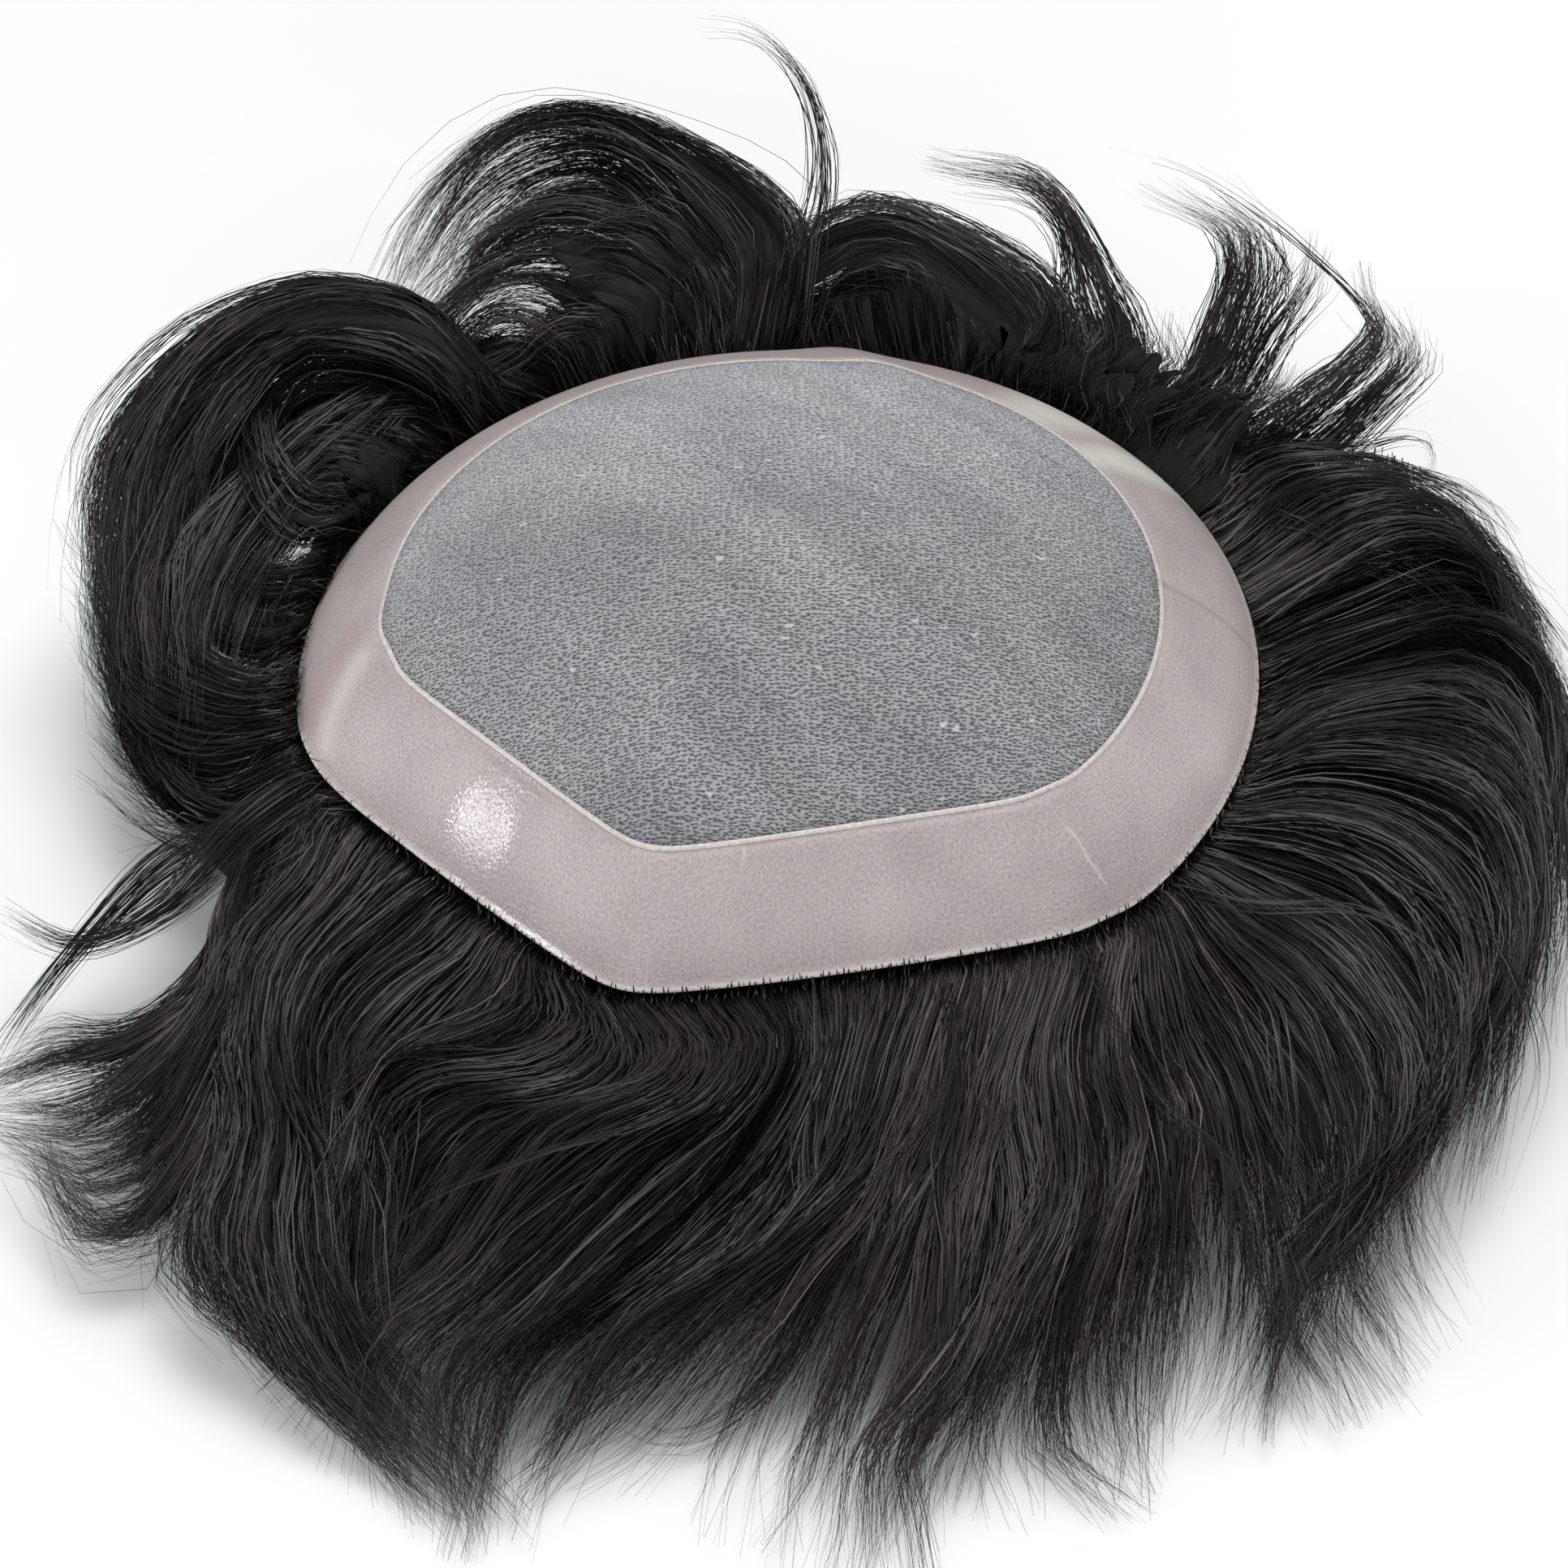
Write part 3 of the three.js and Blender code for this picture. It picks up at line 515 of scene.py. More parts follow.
def mesh_fabric():
    """Grey monofilament: short dark dashes between light threads, on a UV in millimetres."""
    n = Nodes("mono_mesh")
    place = n.uv()
    plan = n.add("ShaderNodeSeparateXYZ", {0: place}).outputs
    bend = n.vector("SUBTRACT", n.noise(place, 0.35, out="Color"), (0.5, 0.5, 0.5))
    bent = n.vector("ADD", place, n.scale(bend, 1.4))
    cells = n.stretch(bent, 1.20, 1.65)
    dash = n.cells(cells, 1.0, 0.7, voronoi_dimensions="2D")
    away = n.vector("SUBTRACT", cells, dash["Position"])
    away = n.vector("MULTIPLY", away, (1.0, 1.9, 0.0))
    chance = n.add("ShaderNodeSeparateColor", {0: dash["Color"]}).outputs
    # Painted shade: the dark dashes grow larger towards the front right, so the mesh reads darker there.
    front_right = n.math("SUBTRACT", n.times(plan["X"], 0.6), plan["Y"])
    shaded_dashes = n.span(front_right, -60, 60, 0.0, 0.10)
    size = n.plus(n.span(chance[0], 0, 1, 0.26, 0.50), shaded_dashes)
    thread = n.span(n.math("DIVIDE", n.vector("LENGTH", away, out="Value"), size), 0.55, 1.25)
    lint = n.noise(n.stretch(bent, 1.8, 4.2), 1.0, 3.0, 0.7)
    patch = n.noise(place, 0.035)
    # Painted light and shade of shallow creases: the mesh is lighter and darker in long diagonal bands.
    crease_shading = n.noise(n.stretch(n.stretch(place, 1, 1, 0.75), 0.018, 0.09), 1.0)
    colour = n.ramp(
        thread, (0.0, (0.10, 0.10, 0.107)), (0.5, (0.25, 0.245, 0.252)), (1.0, (0.42, 0.41, 0.42)))
    colour = n.shade(colour, lint, (0.32, (0.60, 0.60, 0.61)), (0.70, (1.38, 1.38, 1.38)))
    colour = n.shade(colour, patch, (0.35, (0.88, 0.88, 0.90)), (0.65, (1.06, 1.06, 1.06)))
    colour = n.shade(colour, crease_shading, (0.35, (0.89, 0.89, 0.90)), (0.65, (1.10, 1.10, 1.11)))
    # Painted shade and light: the mesh is darker towards the front and lighter towards the back.
    colour = n.scale(colour, n.span(plan["Y"], -12, 42, 0.80, 1.22))
    speck = n.math("GREATER_THAN", chance[1], 0.998)
    n.surface({
        "Base Color": n.wash(colour, speck, 0.5, (0.80, 0.80, 0.82)),
        "Roughness": n.span(lint, 0.3, 0.8, 0.75, 0.5),
        "Normal": n.bump(n.plus(thread, n.times(lint, 0.6)), 0.00022, 0.7),
        "Specular IOR Level": 0.4,
    })
    return n.material


def strip_spots(n, place, ovals):
    """1 inside soft ovals on the strip, each with its middle and half sizes, and 0 outside them."""
    masks = []
    for middle, size in ovals:
        offset = n.vector("SUBTRACT", place, (*middle, 0))
        away = n.vector("LENGTH", n.vector("DIVIDE", offset, (*size, 1)), out="Value")
        masks.append(n.span(away, 0.5, 1.3, 1.0, 0.0))
    return reduce(lambda a, b: n.math("MAXIMUM", a, b), masks)


def strip_line(n, place, start, end, width):
    """1 on a straight line along the strip, falling to 0 at a distance."""
    run = np.array(end, float) - np.array(start, float)
    long = float(np.hypot(*run))
    run = run / long
    offset = n.vector("SUBTRACT", place, (*start, 0))
    along = n.vector("DOT_PRODUCT", offset, (*run, 0), out="Value")
    across = n.vector("DOT_PRODUCT", offset, (-run[1], run[0], 0), out="Value")
    near = n.span(n.math("ABSOLUTE", across), 0, width, 1.0, 0.0)
    off_middle = n.math("ABSOLUTE", n.math("SUBTRACT", along, long / 2))
    return n.times(near, n.span(off_middle, long / 2 - 2, long / 2 + 1, 1.0, 0.0))


def skin_strip():
    """Polyurethane skin: pinkish beige, faintly grained, with small dark knots along the rim.

    Places on it are millimetres along the rim from the right, and in from the rim.
    """
    n = Nodes("poly_skin")
    place = n.uv()
    inset = n.add("ShaderNodeSeparateXYZ", {0: place}).outputs["Y"]
    bent = n.vector("ADD", place, n.scale(n.noise(place, 0.15, out="Color"), 2.5))
    grain = n.noise(place, 1.6, 3.0, 0.65)
    cloud = n.noise(place, 0.06, 3.0)
    colour = n.ramp(cloud, (0.3, (0.372, 0.314, 0.316)), (0.7, (0.444, 0.380, 0.380)))
    colour = n.shade(colour, grain, (0.32, (0.74, 0.72, 0.73)), (0.68, (1.21, 1.21, 1.21)))
    # Painted highlight: a pale line on the fold at the left side of the strip.
    fold_highlight = strip_line(n, bent, (299, 28), (309, 5), 4.5)
    colour = n.wash(colour, fold_highlight, 0.35, (0.70, 0.66, 0.62))
    # Painted highlight: a pale patch on the far right of the strip.
    far_highlight = strip_spots(n, place, [((73, 18), (13, 22)), ((50, 18), (8, 22))])
    colour = n.wash(colour, far_highlight, 0.7, (0.72, 0.71, 0.64))
    # Painted shade: a dark reddish band beside the pale fold line, at the left side of the strip.
    fold_shade = strip_line(n, bent, (290, 26), (301, 4), 7.0)
    colour = n.wash(colour, fold_shade, 0.4, (0.36, 0.25, 0.25))
    for start, end in (((489, 23), (492, 8)), ((417.5, 26), (417.8, 23))):
        scratch = strip_line(n, bent, start, end, 0.55)
        colour = n.wash(colour, scratch, 0.5, (0.72, 0.67, 0.65))
    # Painted highlight: a pale line along the strip's outer rim.
    edge = n.span(inset, 0.4, 1.5, 1.0, 0.0)
    colour = n.wash(colour, edge, 0.85, (0.82, 0.78, 0.76))
    dots = n.cells(n.stretch(place, 0.8, 0.9), 1.0, 0.75)["Distance"]
    knot = n.math("LESS_THAN", dots, n.span(inset, 0.2, 2.2, 0.24, 0.0))
    colour = n.wash(colour, knot, 0.8, (0.06, 0.045, 0.045))
    glossy = strip_spots(n, place, [((351, 13), (9, 12)), ((353, 24), (11, 3)), ((370, 2), (13, 4))])
    wet = n.span(n.plus(glossy, n.span(grain, 0.35, 0.65, -0.5, 0.3)), 0.3, 0.6)
    pores = n.cells(place, 1.25, 0.9)["Distance"]
    height = n.plus(n.times(grain, 0.7), n.times(pores, 0.5))
    rough_skin = n.bump(n.times(height, n.span(glossy, 0, 1, 0.45, 0.8)), 0.00018, 0.8)
    n.surface({
        "Base Color": colour,
        "Roughness": n.span(wet, 0, 1, 0.46, 0.16),
        "Coat Weight": n.times(wet, 0.7),
        "Coat Roughness": 0.13,
        "Normal": rough_skin,
        "Coat Normal": rough_skin,
        "Specular IOR Level": 0.5,
    })
    return n.material


def bond_film():
    n = Nodes("bond_film")
    grain = n.noise(n.uv(), 0.9, 3.0)
    n.surface({
        "Base Color": n.ramp(grain, (0.3, (0.48, 0.42, 0.41)), (0.7, (0.66, 0.61, 0.60))),
        "Roughness": 0.3,
        "Normal": n.bump(grain, 0.0003, 0.5),
    })
    return n.material


def hair_streaks():
    """Hair seen as a mass: fine streaks along each lock, on a UV in millimetres."""
    n = Nodes("hair_mass")
    place = n.uv()
    fine = n.noise(n.stretch(place, 3.2, 0.05), 1.0, 4.0, 0.7)
    broad = n.noise(n.stretch(place, 0.5, 0.02), 1.0)
    n.surface({
        "Base Color": n.ramp(
            fine, (0.3, (0.002, 0.002, 0.002)), (0.62, (0.009, 0.008, 0.008)),
            (0.8, (0.026, 0.022, 0.022))),
        "Roughness": n.span(fine, 0.3, 0.7, 0.65, 0.5),
        "Normal": n.bump(n.plus(fine, n.times(broad, 2.0)), 0.0006, 1.0),
        "Specular IOR Level": 0.24,
    })
    return n.material


def hair_strands():
    """Single hairs: near black, some browner, each with its own tone; the tone is raised for a painted
    sheen at the front right.
    """
    n = Nodes("hair_strand")
    tone = n.add("ShaderNodeAttribute", {}, attribute_name="tone").outputs["Fac"]
    mixed = n.plus(n.times(tone, 0.85), n.times(n.noise(n.uv(), 0.08), 0.2))
    n.surface({
        "Base Color": n.ramp(
            mixed, (0.12, (0.0035, 0.003, 0.003)), (0.55, (0.011, 0.009, 0.0095)),
            (0.8, (0.034, 0.027, 0.028)), (1.0, (0.11, 0.092, 0.088))),
        "Roughness": n.span(mixed, 0.1, 0.9, 0.30, 0.42),
        "Specular IOR Level": 0.34,
        "Specular Tint": (1.0, 0.93, 0.92, 1),
    })
    return n.material


# The base

BASE_AROUND = 240
PANEL_ROWS = 22
PANEL_HOLE = 0.02
STRIP_ROWS = 20
BEAD_ROWS = 7
BEAD_LAP = 0.3
BEAD_CLEARANCE = 0.1

# A length along the dome is this much longer than its run in the plan.
UV_SPREAD = 1.08


def polar_shell(shares, depth_top, depth_bottom, uv_of):
    """A closed shell of the dome. shares holds a ring of shares for each row, from the middle out."""
    rows, around = shares.shape
    heading = np.broadcast_to(headings(around), shares.shape)
    top = under_dome(heading, shares, depth_top)
    bottom = under_dome(heading, shares, depth_bottom)[::-1]
    points = np.concatenate([top, bottom]).reshape(-1, 3)
    uv = uv_of(heading, shares)
    uv = np.concatenate([uv, uv[::-1]]).reshape(-1, 2)
    return points, ring_faces(2 * rows, around, close_rings=True), uv


def plan_uv(heading, shares):
    """Millimetres along the surface from the top, spread flat."""
    return polar(heading, rim_radius(heading) * shares * UV_SPREAD, 0)[..., :2]


def rim_uv(heading, shares):
    """Millimetres along the rim, and in from it."""
    return np.stack([heading * BASE_RADIUS, (1 - shares) * rim_radius(heading) * UV_SPREAD], -1)


def build_panel():
    edge = share_from_rim(headings(BASE_AROUND), STRIP_WIDTH + BEAD_WIDTH - BEAD_LAP)
    shares = edge * np.linspace(PANEL_HOLE, 1, PANEL_ROWS)[:, None]
    panel = make_mesh("mono_panel_fine", *polar_shell(shares, 0.0, SHEET_THICKNESS, plan_uv))
    close_centre(panel)
    finish_piece(panel, mesh_fabric(), "mono_mesh", "mono_panel")


def build_strip():
    """The strip, with a low welt beside its rim and the rim itself rounded down."""
    inner = share_from_rim(headings(BASE_AROUND), STRIP_WIDTH + BEAD_LAP)
    out = 1 - (1 - np.linspace(0, 1, STRIP_ROWS)[:, None]) ** 1.8
    inset = (1 - out) * STRIP_WIDTH
    top = -0.4 * np.exp(-((inset - 0.7) / 0.45) ** 2) + 0.3 * np.exp(-(inset / 0.2) ** 2)
    shell = polar_shell(inner + (1 - inner) * out, top, SHEET_THICKNESS, rim_uv)
    finish_piece(make_mesh("poly_rim_fine", *shell), skin_strip(), "poly_skin", "poly_rim")


def build_bead():
    """The bonding line, a low round band with a slightly uneven height."""
    heading = headings(BASE_AROUND)
    outer = share_from_rim(heading, STRIP_WIDTH + BEAD_CLEARANCE)
    inner = share_from_rim(heading, STRIP_WIDTH + BEAD_WIDTH - BEAD_CLEARANCE)
    across = np.linspace(0, 1, BEAD_ROWS)[:, None]
    wobble = 0.12 * np.sin(heading * 57) * np.sin(heading * 23 + 1.3)
    top = -(0.24 + wobble * 0.5) * np.sin(math.pi * np.clip(across, 0.04, 0.96))
    shell = polar_shell(inner + (outer - inner) * across, top, BEAD_LAP, rim_uv)
    finish_piece(make_mesh("bond_bead_fine", *shell), bond_film(), "bond_film", "bond_bead")


def close_centre(panel):
    """Caps the small holes at the top of the panel's upper and lower face."""
    around = BASE_AROUND
    last_ring = 2 * PANEL_ROWS - 1
    form = bmesh.new()
    form.from_mesh(panel.data)
    form.verts.ensure_lookup_table()
    upper = [form.verts[i] for i in range(around)]
    lower = [form.verts[i] for i in range(last_ring * around, (last_ring + 1) * around)]
    ends = {0, last_ring}
    seam = [edge for edge in form.edges if {vertex.index // around for vertex in edge.verts} == ends]
    doomed = {face for edge in seam for face in edge.link_faces}
    bmesh.ops.delete(form, geom=list(doomed), context="FACES_ONLY")
    bare = [edge for edge in seam if edge.is_valid and not edge.link_faces]
    bmesh.ops.delete(form, geom=bare, context="EDGES")
    form.faces.new(upper)
    form.faces.new(list(reversed(lower)))
    for face in form.faces:
        face.smooth = True
    form.to_mesh(panel.data)
    form.free()


# The hair's lines

LINE_POINTS = 41
SHARES = np.linspace(0, 1, LINE_POINTS)
CURVE_STEPS = 240
EXIT_DROP = 2.4


def smooth_step(low, high, value):
    t = np.clip((value - low) / (high - low), 0, 1)
    return t * t * (3 - 2 * t)


def station(place):
    heading, reach, rise = place
    angle = math.radians(heading)
    out = HAIR_REACH * (reach / 100)
    return [out * math.cos(angle), out * math.sin(angle), HAIR_RISE * (rise / 100)]


def rounded_line(points):
    """A rounded curve through points, as LINE_POINTS evenly spaced points."""
    points = np.array(points)
    chords = np.linalg.norm(np.diff(points, axis=0), axis=1)
    knots = np.concatenate([[0], np.cumsum(np.sqrt(chords))])
    steps = np.diff(knots)[:, None]
    slopes = np.diff(points, axis=0) / steps
    through = (slopes[:-1] * steps[1:] + slopes[1:] * steps[:-1]) / (steps[1:] + steps[:-1])
    tangents = np.concatenate([slopes[:1], through, slopes[-1:]])
    at = np.linspace(0, knots[-1], CURVE_STEPS)
    low = np.clip(np.searchsorted(knots, at, side="right") - 1, 0, len(steps) - 1)
    wide = steps[low]
    s = (at - knots[low])[:, None] / wide
    line = ((2 * s ** 3 - 3 * s ** 2 + 1) * points[low]
            + (s ** 3 - 2 * s ** 2 + s) * tangents[low] * wide
            + (-2 * s ** 3 + 3 * s ** 2) * points[low + 1]
            + (s ** 3 - s ** 2) * tangents[low + 1] * wide)
    run = np.concatenate([[0], np.cumsum(np.linalg.norm(np.diff(line, axis=0), axis=1))])
    return np.stack([np.interp(SHARES * run[-1], run, line[:, axis]) for axis in range(3)], -1)


def flow_line(root, *stations):
    """From under the strip, out below the rim and on through the stations."""
    heading = np.array(math.radians(root))
    edge = rim_point(heading)
    outward = rim_outward(heading)
    start = edge - outward * ROOT_INSET - [0, 0, ROOT_DROP]
    below = edge + outward - [0, 0, EXIT_DROP]
    return rounded_line([start, below, *(station(place) for place in stations)])


def frames(lines):
    """Directions sideways and over, square to each line, at each of its points."""
    along = unit(np.gradient(lines, axis=-2))
    side = unit(np.cross(UP, along))
    return side, np.cross(along, side)


def moved(lines, across, upward):
    """Lines with each point moved sideways and over."""
    side, over = frames(lines)
    return lines + side * across[..., None] + over * upward[..., None]


def marks_across(guides):
    gaps = np.linalg.norm(np.diff(guides, axis=0), axis=-1).mean(1)
    return np.concatenate([[0], np.cumsum(gaps)])


def between(guides, places):
    """Lines at places across a row of guides, in millimetres from the first one."""
    marks = marks_across(guides)
    low = np.clip(np.searchsorted(marks, places) - 1, 0, len(marks) - 2)
    part = ((places - marks[low]) / (marks[low + 1] - marks[low]))[:, None, None]
    return guides[low] * (1 - part) + guides[low + 1] * part


def keep_above_floor(lines, clearance):
    """Lifts points that lie lower than a clearance, with a soft bend above it."""
    soft = 1.5
    lines[..., 2] = clearance + soft * np.logaddexp(0, (lines[..., 2] - clearance) / soft)


def keep_out_of_dome(lines):
    """Pushes points that would rise through the base back under its edge."""
    clearance = 1.4
    slope = 1.1
    slope_reach = 12
    past_edge = 0.6
    heading = np.arctan2(lines[..., 1], lines[..., 0])
    inside = rim_radius(heading) - np.hypot(lines[..., 0], lines[..., 1])
    roof = rim_height(heading) - clearance + np.clip(inside, 0, slope_reach) * slope
    lines[..., 2] = np.where(inside > -past_edge, np.minimum(lines[..., 2], roof), lines[..., 2])


def length_of(lines):
    return np.linalg.norm(np.diff(lines, axis=1), axis=-1).sum(1)


def wave(lines, amplitude, low, high, rng):
    """A soft bend sideways and upwards along each line, with its own wavelength and phase."""
    count = len(lines)
    side, over = frames(lines)
    turns = length_of(lines)[:, None] * SHARES / rng.uniform(low, high, count)[:, None]
    grow = smooth_step(0.08, 0.45, SHARES)
    sway_phase = rng.uniform(0, 6.28, count)[:, None]
    lift_phase = rng.uniform(0, 6.28, count)[:, None]
    sway = np.sin(math.tau * turns + sway_phase) * amplitude * grow
    lift = np.sin(math.tau * turns * 0.8 + lift_phase) * amplitude * 0.6 * grow
    strength = rng.uniform(0.4, 1.4, count)[:, None, None]
    return lines + (side * sway[..., None] + over * lift[..., None]) * strength


def even_places(count, wide, rng):
    """Places spread evenly over a width, each a little off its own step."""
    return (np.arange(count) + 0.5 + rng.uniform(-0.35, 0.35, count)) * wide / count


# Strands and bodies

# The shares are of the clumps that cross far over the others, of the hairs that fly loose and of the
# brighter hairs. UNDER_TENTHS is how many hairs of ten lie evenly under the rest. A stream narrower
# than ROOMY_WIDTH wanders less.
LOCK_SPACING = 15
CLUMP_SPACING = 4.5
CLUMP_LAYERS = 5
CLUMP_RADIUS = 2.4
CROSSING = 4.5
ROOMY_WIDTH = 70
FAR_SHARE = 0.15
LOOSE_SHARE = 0.12
UNDER_TENTHS = 2.5
BRIGHT_SHARE = 0.06
# A painted sheen: hairs that leave the rim near this heading, at the front right, get a lighter tone.
SHEEN_HEADING = math.radians(-55)
SHEEN_SPREAD = math.radians(17)
STRAND_WIDTH = (0.15, 0.28)
HAIRS_PER_AREA = 0.197
PIECE_TRIANGLES = 190000
STEP_LENGTH = 8
STEPS = (8, 17)
BODY_ROWS = 30
BODY_COLUMN = 1.8
STREAM_SEED = 11
WISP_SEED = 900
WISP_STEPS = 24

# How the pile swells from the root and thins towards the tips.
SWELL = smooth_step(0.04, 0.3, SHARES) * (1 - 0.5 * smooth_step(0.6, 1.0, SHARES))


def undulate(guides):
    """Slow swells that run on from each flow line to the next."""
    side, over = frames(guides)
    grow = smooth_step(0.08, 0.35, SHARES) * (1 - 0.5 * smooth_step(0.8, 1.0, SHARES))
    turn = math.tau * 1.6 * SHARES + 0.8 * np.arange(len(guides))[:, None]
    lift = 2.4 * np.sin(turn) * grow
    sway = 1.8 * np.cos(turn) * grow
    return guides + over * lift[..., None] + side * sway[..., None]


def crossing(guides, places, shifts):
    """Lines that leave at one place and end a shift further along the row of guides."""
    share = SHARES[:, None] ** 1.3
    return between(guides, places) * (1 - share) + between(guides, places + shifts) * share


def comb_locks(guides, wide, roomy, rng):
    """The locks of a stream: broad bundles, each of which draws the clumps near it together."""
    count = max(1, round(wide / LOCK_SPACING))
    places = even_places(count, wide, rng)
    lines = crossing(guides, places, rng.normal(0, CROSSING, count) * roomy)
    side, over = frames(lines)
    drift = rng.normal(0, 3.0, (count, 1, 1)) * roomy
    rise = rng.uniform(-1.5, 2.2, (count, 1, 1)) * smooth_step(0.1, 0.5, SHARES)[:, None]
    shift = side * drift * smooth_step(0.35, 1.0, SHARES)[:, None] + over * rise
    lines = wave(lines + shift, 1.5, 45, 65, rng)
    trim = rng.uniform(0.95, 1.05, count)
    hold = rng.uniform(0.0, 0.45, count)
    return SimpleNamespace(count=count, places=places, lines=lines, shift=shift, trim=trim, hold=hold)


def comb_clumps(guides, wide, roomy, depth, locks, rng):
    """The clumps of a stream: thin bundles in layers, some of which cross far over the others."""
    count = max(3, round(wide / CLUMP_SPACING)) * CLUMP_LAYERS
    places = even_places(count, wide + 3, rng) - 1.5
    deep = rng.random(count) ** 1.5
    far = rng.random(count) < FAR_SHARE
    cross = rng.normal(0, CROSSING, count) * np.where(far, 2.6, 0.8) * roomy
    lock = np.abs(places[:, None] - locks.places).argmin(1)
    off_centre = (places - locks.places[lock]) / (wide / locks.count)
    hold = np.where(far, 0, locks.hold[lock])[:, None, None]
    gather = hold * smooth_step(0.3, 1.0, SHARES)[:, None]
    lines = crossing(guides, places, cross) + locks.shift[lock]
    lines = lines * (1 - gather) + locks.lines[lock] * gather
    side, over = frames(lines)
    hump = 1.4 * np.cos(np.clip(off_centre, -0.5, 0.5) * math.tau) + np.where(far, 1.5, 0)
    sink = (hump - np.where(far, 0.15, deep) * depth)[:, None] * SWELL
    lines = lines + over * sink[..., None]
    bend = rng.normal(0, 4.0, (count, 1, 1)) * max(0.4, roomy)
    lines = wave(lines + side * bend * SHARES[:, None] ** 3, 1.3, 30, 50, rng)
    trim = rng.uniform(0.84, 1.07, count)
    return SimpleNamespace(
        count=count, places=places, deep=deep, cross=cross, lock=lock, sink=sink, lines=lines, trim=trim)


def comb(guides, count, depth, rng):
    """Lines of single hairs, gathered into clumps and locks, with each one's trim, tone and roll."""
    wide = marks_across(guides)[-1]
    roomy = min(1, wide / ROOMY_WIDTH)
    locks = comb_locks(guides, wide, roomy, rng)
    clumps = comb_clumps(guides, wide, roomy, depth, locks, rng)

    top_first = 1.25 - clumps.deep
    clump = rng.choice(clumps.count, count, p=top_first / top_first.sum())
    lock = clumps.lock[clump]
    loose = rng.random(count) < LOOSE_SHARE
    under = np.arange(count) % 10 < UNDER_TENTHS * roomy
    places = clumps.places[clump] + rng.normal(0, 1.8, count)
    places = np.where(under, np.arange(count) * wide / count, places)
    lines = crossing(guides, places, clumps.cross[clump] + rng.normal(0, 3, count) * roomy)
    lines = lines + locks.shift[lock] * np.where(under, 0.3, 1.0)[:, None, None]
    sink = np.where(under[:, None], -0.35 * depth * SWELL, clumps.sink[clump])
    lines = lines + frames(lines)[1] * sink[..., None]
    hold = np.where(loose, 0.35, rng.uniform(0.7, 1.0, count)) * np.where(under, 0.12, 1.0)
    gather = hold[:, None, None] * (0.25 + 0.7 * smooth_step(0.05, 0.7, SHARES))[:, None]
    lines = lines * (1 - gather) + clumps.lines[clump] * gather

    angle = rng.uniform(0, math.tau, count)[:, None]
    ring = np.sqrt(rng.random(count))[:, None] * CLUMP_RADIUS
    ring = ring * (0.55 + 0.45 * smooth_step(0.0, 0.2, SHARES))
    ring = ring * (1 - 0.6 * smooth_step(0.3, 1.0, SHARES))
    fly = np.where(loose, rng.uniform(1, 9, count), rng.uniform(0, 3.0, count))
    fly = fly[:, None] * SHARES ** 2
    away = rng.uniform(-0.3, math.pi + 0.3, count)[:, None]
    across = ring * np.cos(angle) + fly * np.cos(away)
    upward = ring * np.sin(angle) * 0.75 + fly * np.sin(away) * 0.6
    lines = wave(moved(lines, across, upward), 0.35, 26, 40, rng)
    inset = rng.uniform(-3, 6, count)[:, None] * (1 - smooth_step(0, 0.1, SHARES))
    heading = np.arctan2(lines[:, 0, 1], lines[:, 0, 0])
    lines = lines - rim_outward(heading)[:, None, :] * inset[..., None]

    own_trim = 1.06 - 0.32 * rng.random(count) ** 1.4
    trim = np.minimum(locks.trim[lock] * clumps.trim[clump] * own_trim, 1.04)
    tone = 0.62 * rng.random(clumps.count)[clump] ** 1.2 + 0.38 * rng.random(count)
    bright = rng.random(count) < BRIGHT_SHARE
    tone = np.where(bright, 0.7 + 0.3 * rng.random(count), tone * 0.85)
    # Painted sheen: hairs near the front right get a lighter tone.
    tone = tone + 0.20 * np.exp(-((heading - SHEEN_HEADING) / SHEEN_SPREAD) ** 2)
    roll = rng.normal(0, 0.35, clumps.count)[clump] + rng.normal(0, 0.25, count)
    return lines, trim, tone, roll


def cut_and_step(lines, trim, steps):
    """Each line cut to its share, or let run on a little; its points lie closer near the root."""
    even = np.linspace(0, 1, steps)
    at = (even * (0.90 + 0.10 * even))[None, :] * trim[:, None] * (LINE_POINTS - 1)
    low = np.clip(at.astype(int), 0, LINE_POINTS - 2)
    part = (at - low)[..., None]
    row = np.arange(len(lines))[:, None]
    return lines[row, low] * (1 - part) + lines[row, low + 1] * part


def leaning(lines, roll):
    """The way in which each hair lies flat, rolled about its own line."""
    side, over = frames(lines)
    return side * np.cos(roll)[..., None] + over * np.sin(roll)[..., None]


def ribbons(lines, half_wide, lean):
    """Flat hairs along many lines at once: vertices, quads and UVs."""
    count, steps = lines.shape[:2]
    edge = lean * half_wide[..., None]
    points = np.stack([lines - edge, lines + edge], 2)
    corner = (np.arange(count)[:, None] * steps + np.arange(steps - 1)) * 2
    quads = np.stack([corner, corner + 1, corner + 3, corner + 2], -1).reshape(-1, 4)
    run = np.linspace(0, 1, steps) * length_of(lines)[:, None]
    u = np.arange(count)[:, None] * 7.3
    uv = np.stack(np.broadcast_arrays(u, run), -1).repeat(2, axis=1)
    return points.reshape(-1, 3), quads, uv.reshape(-1, 2)


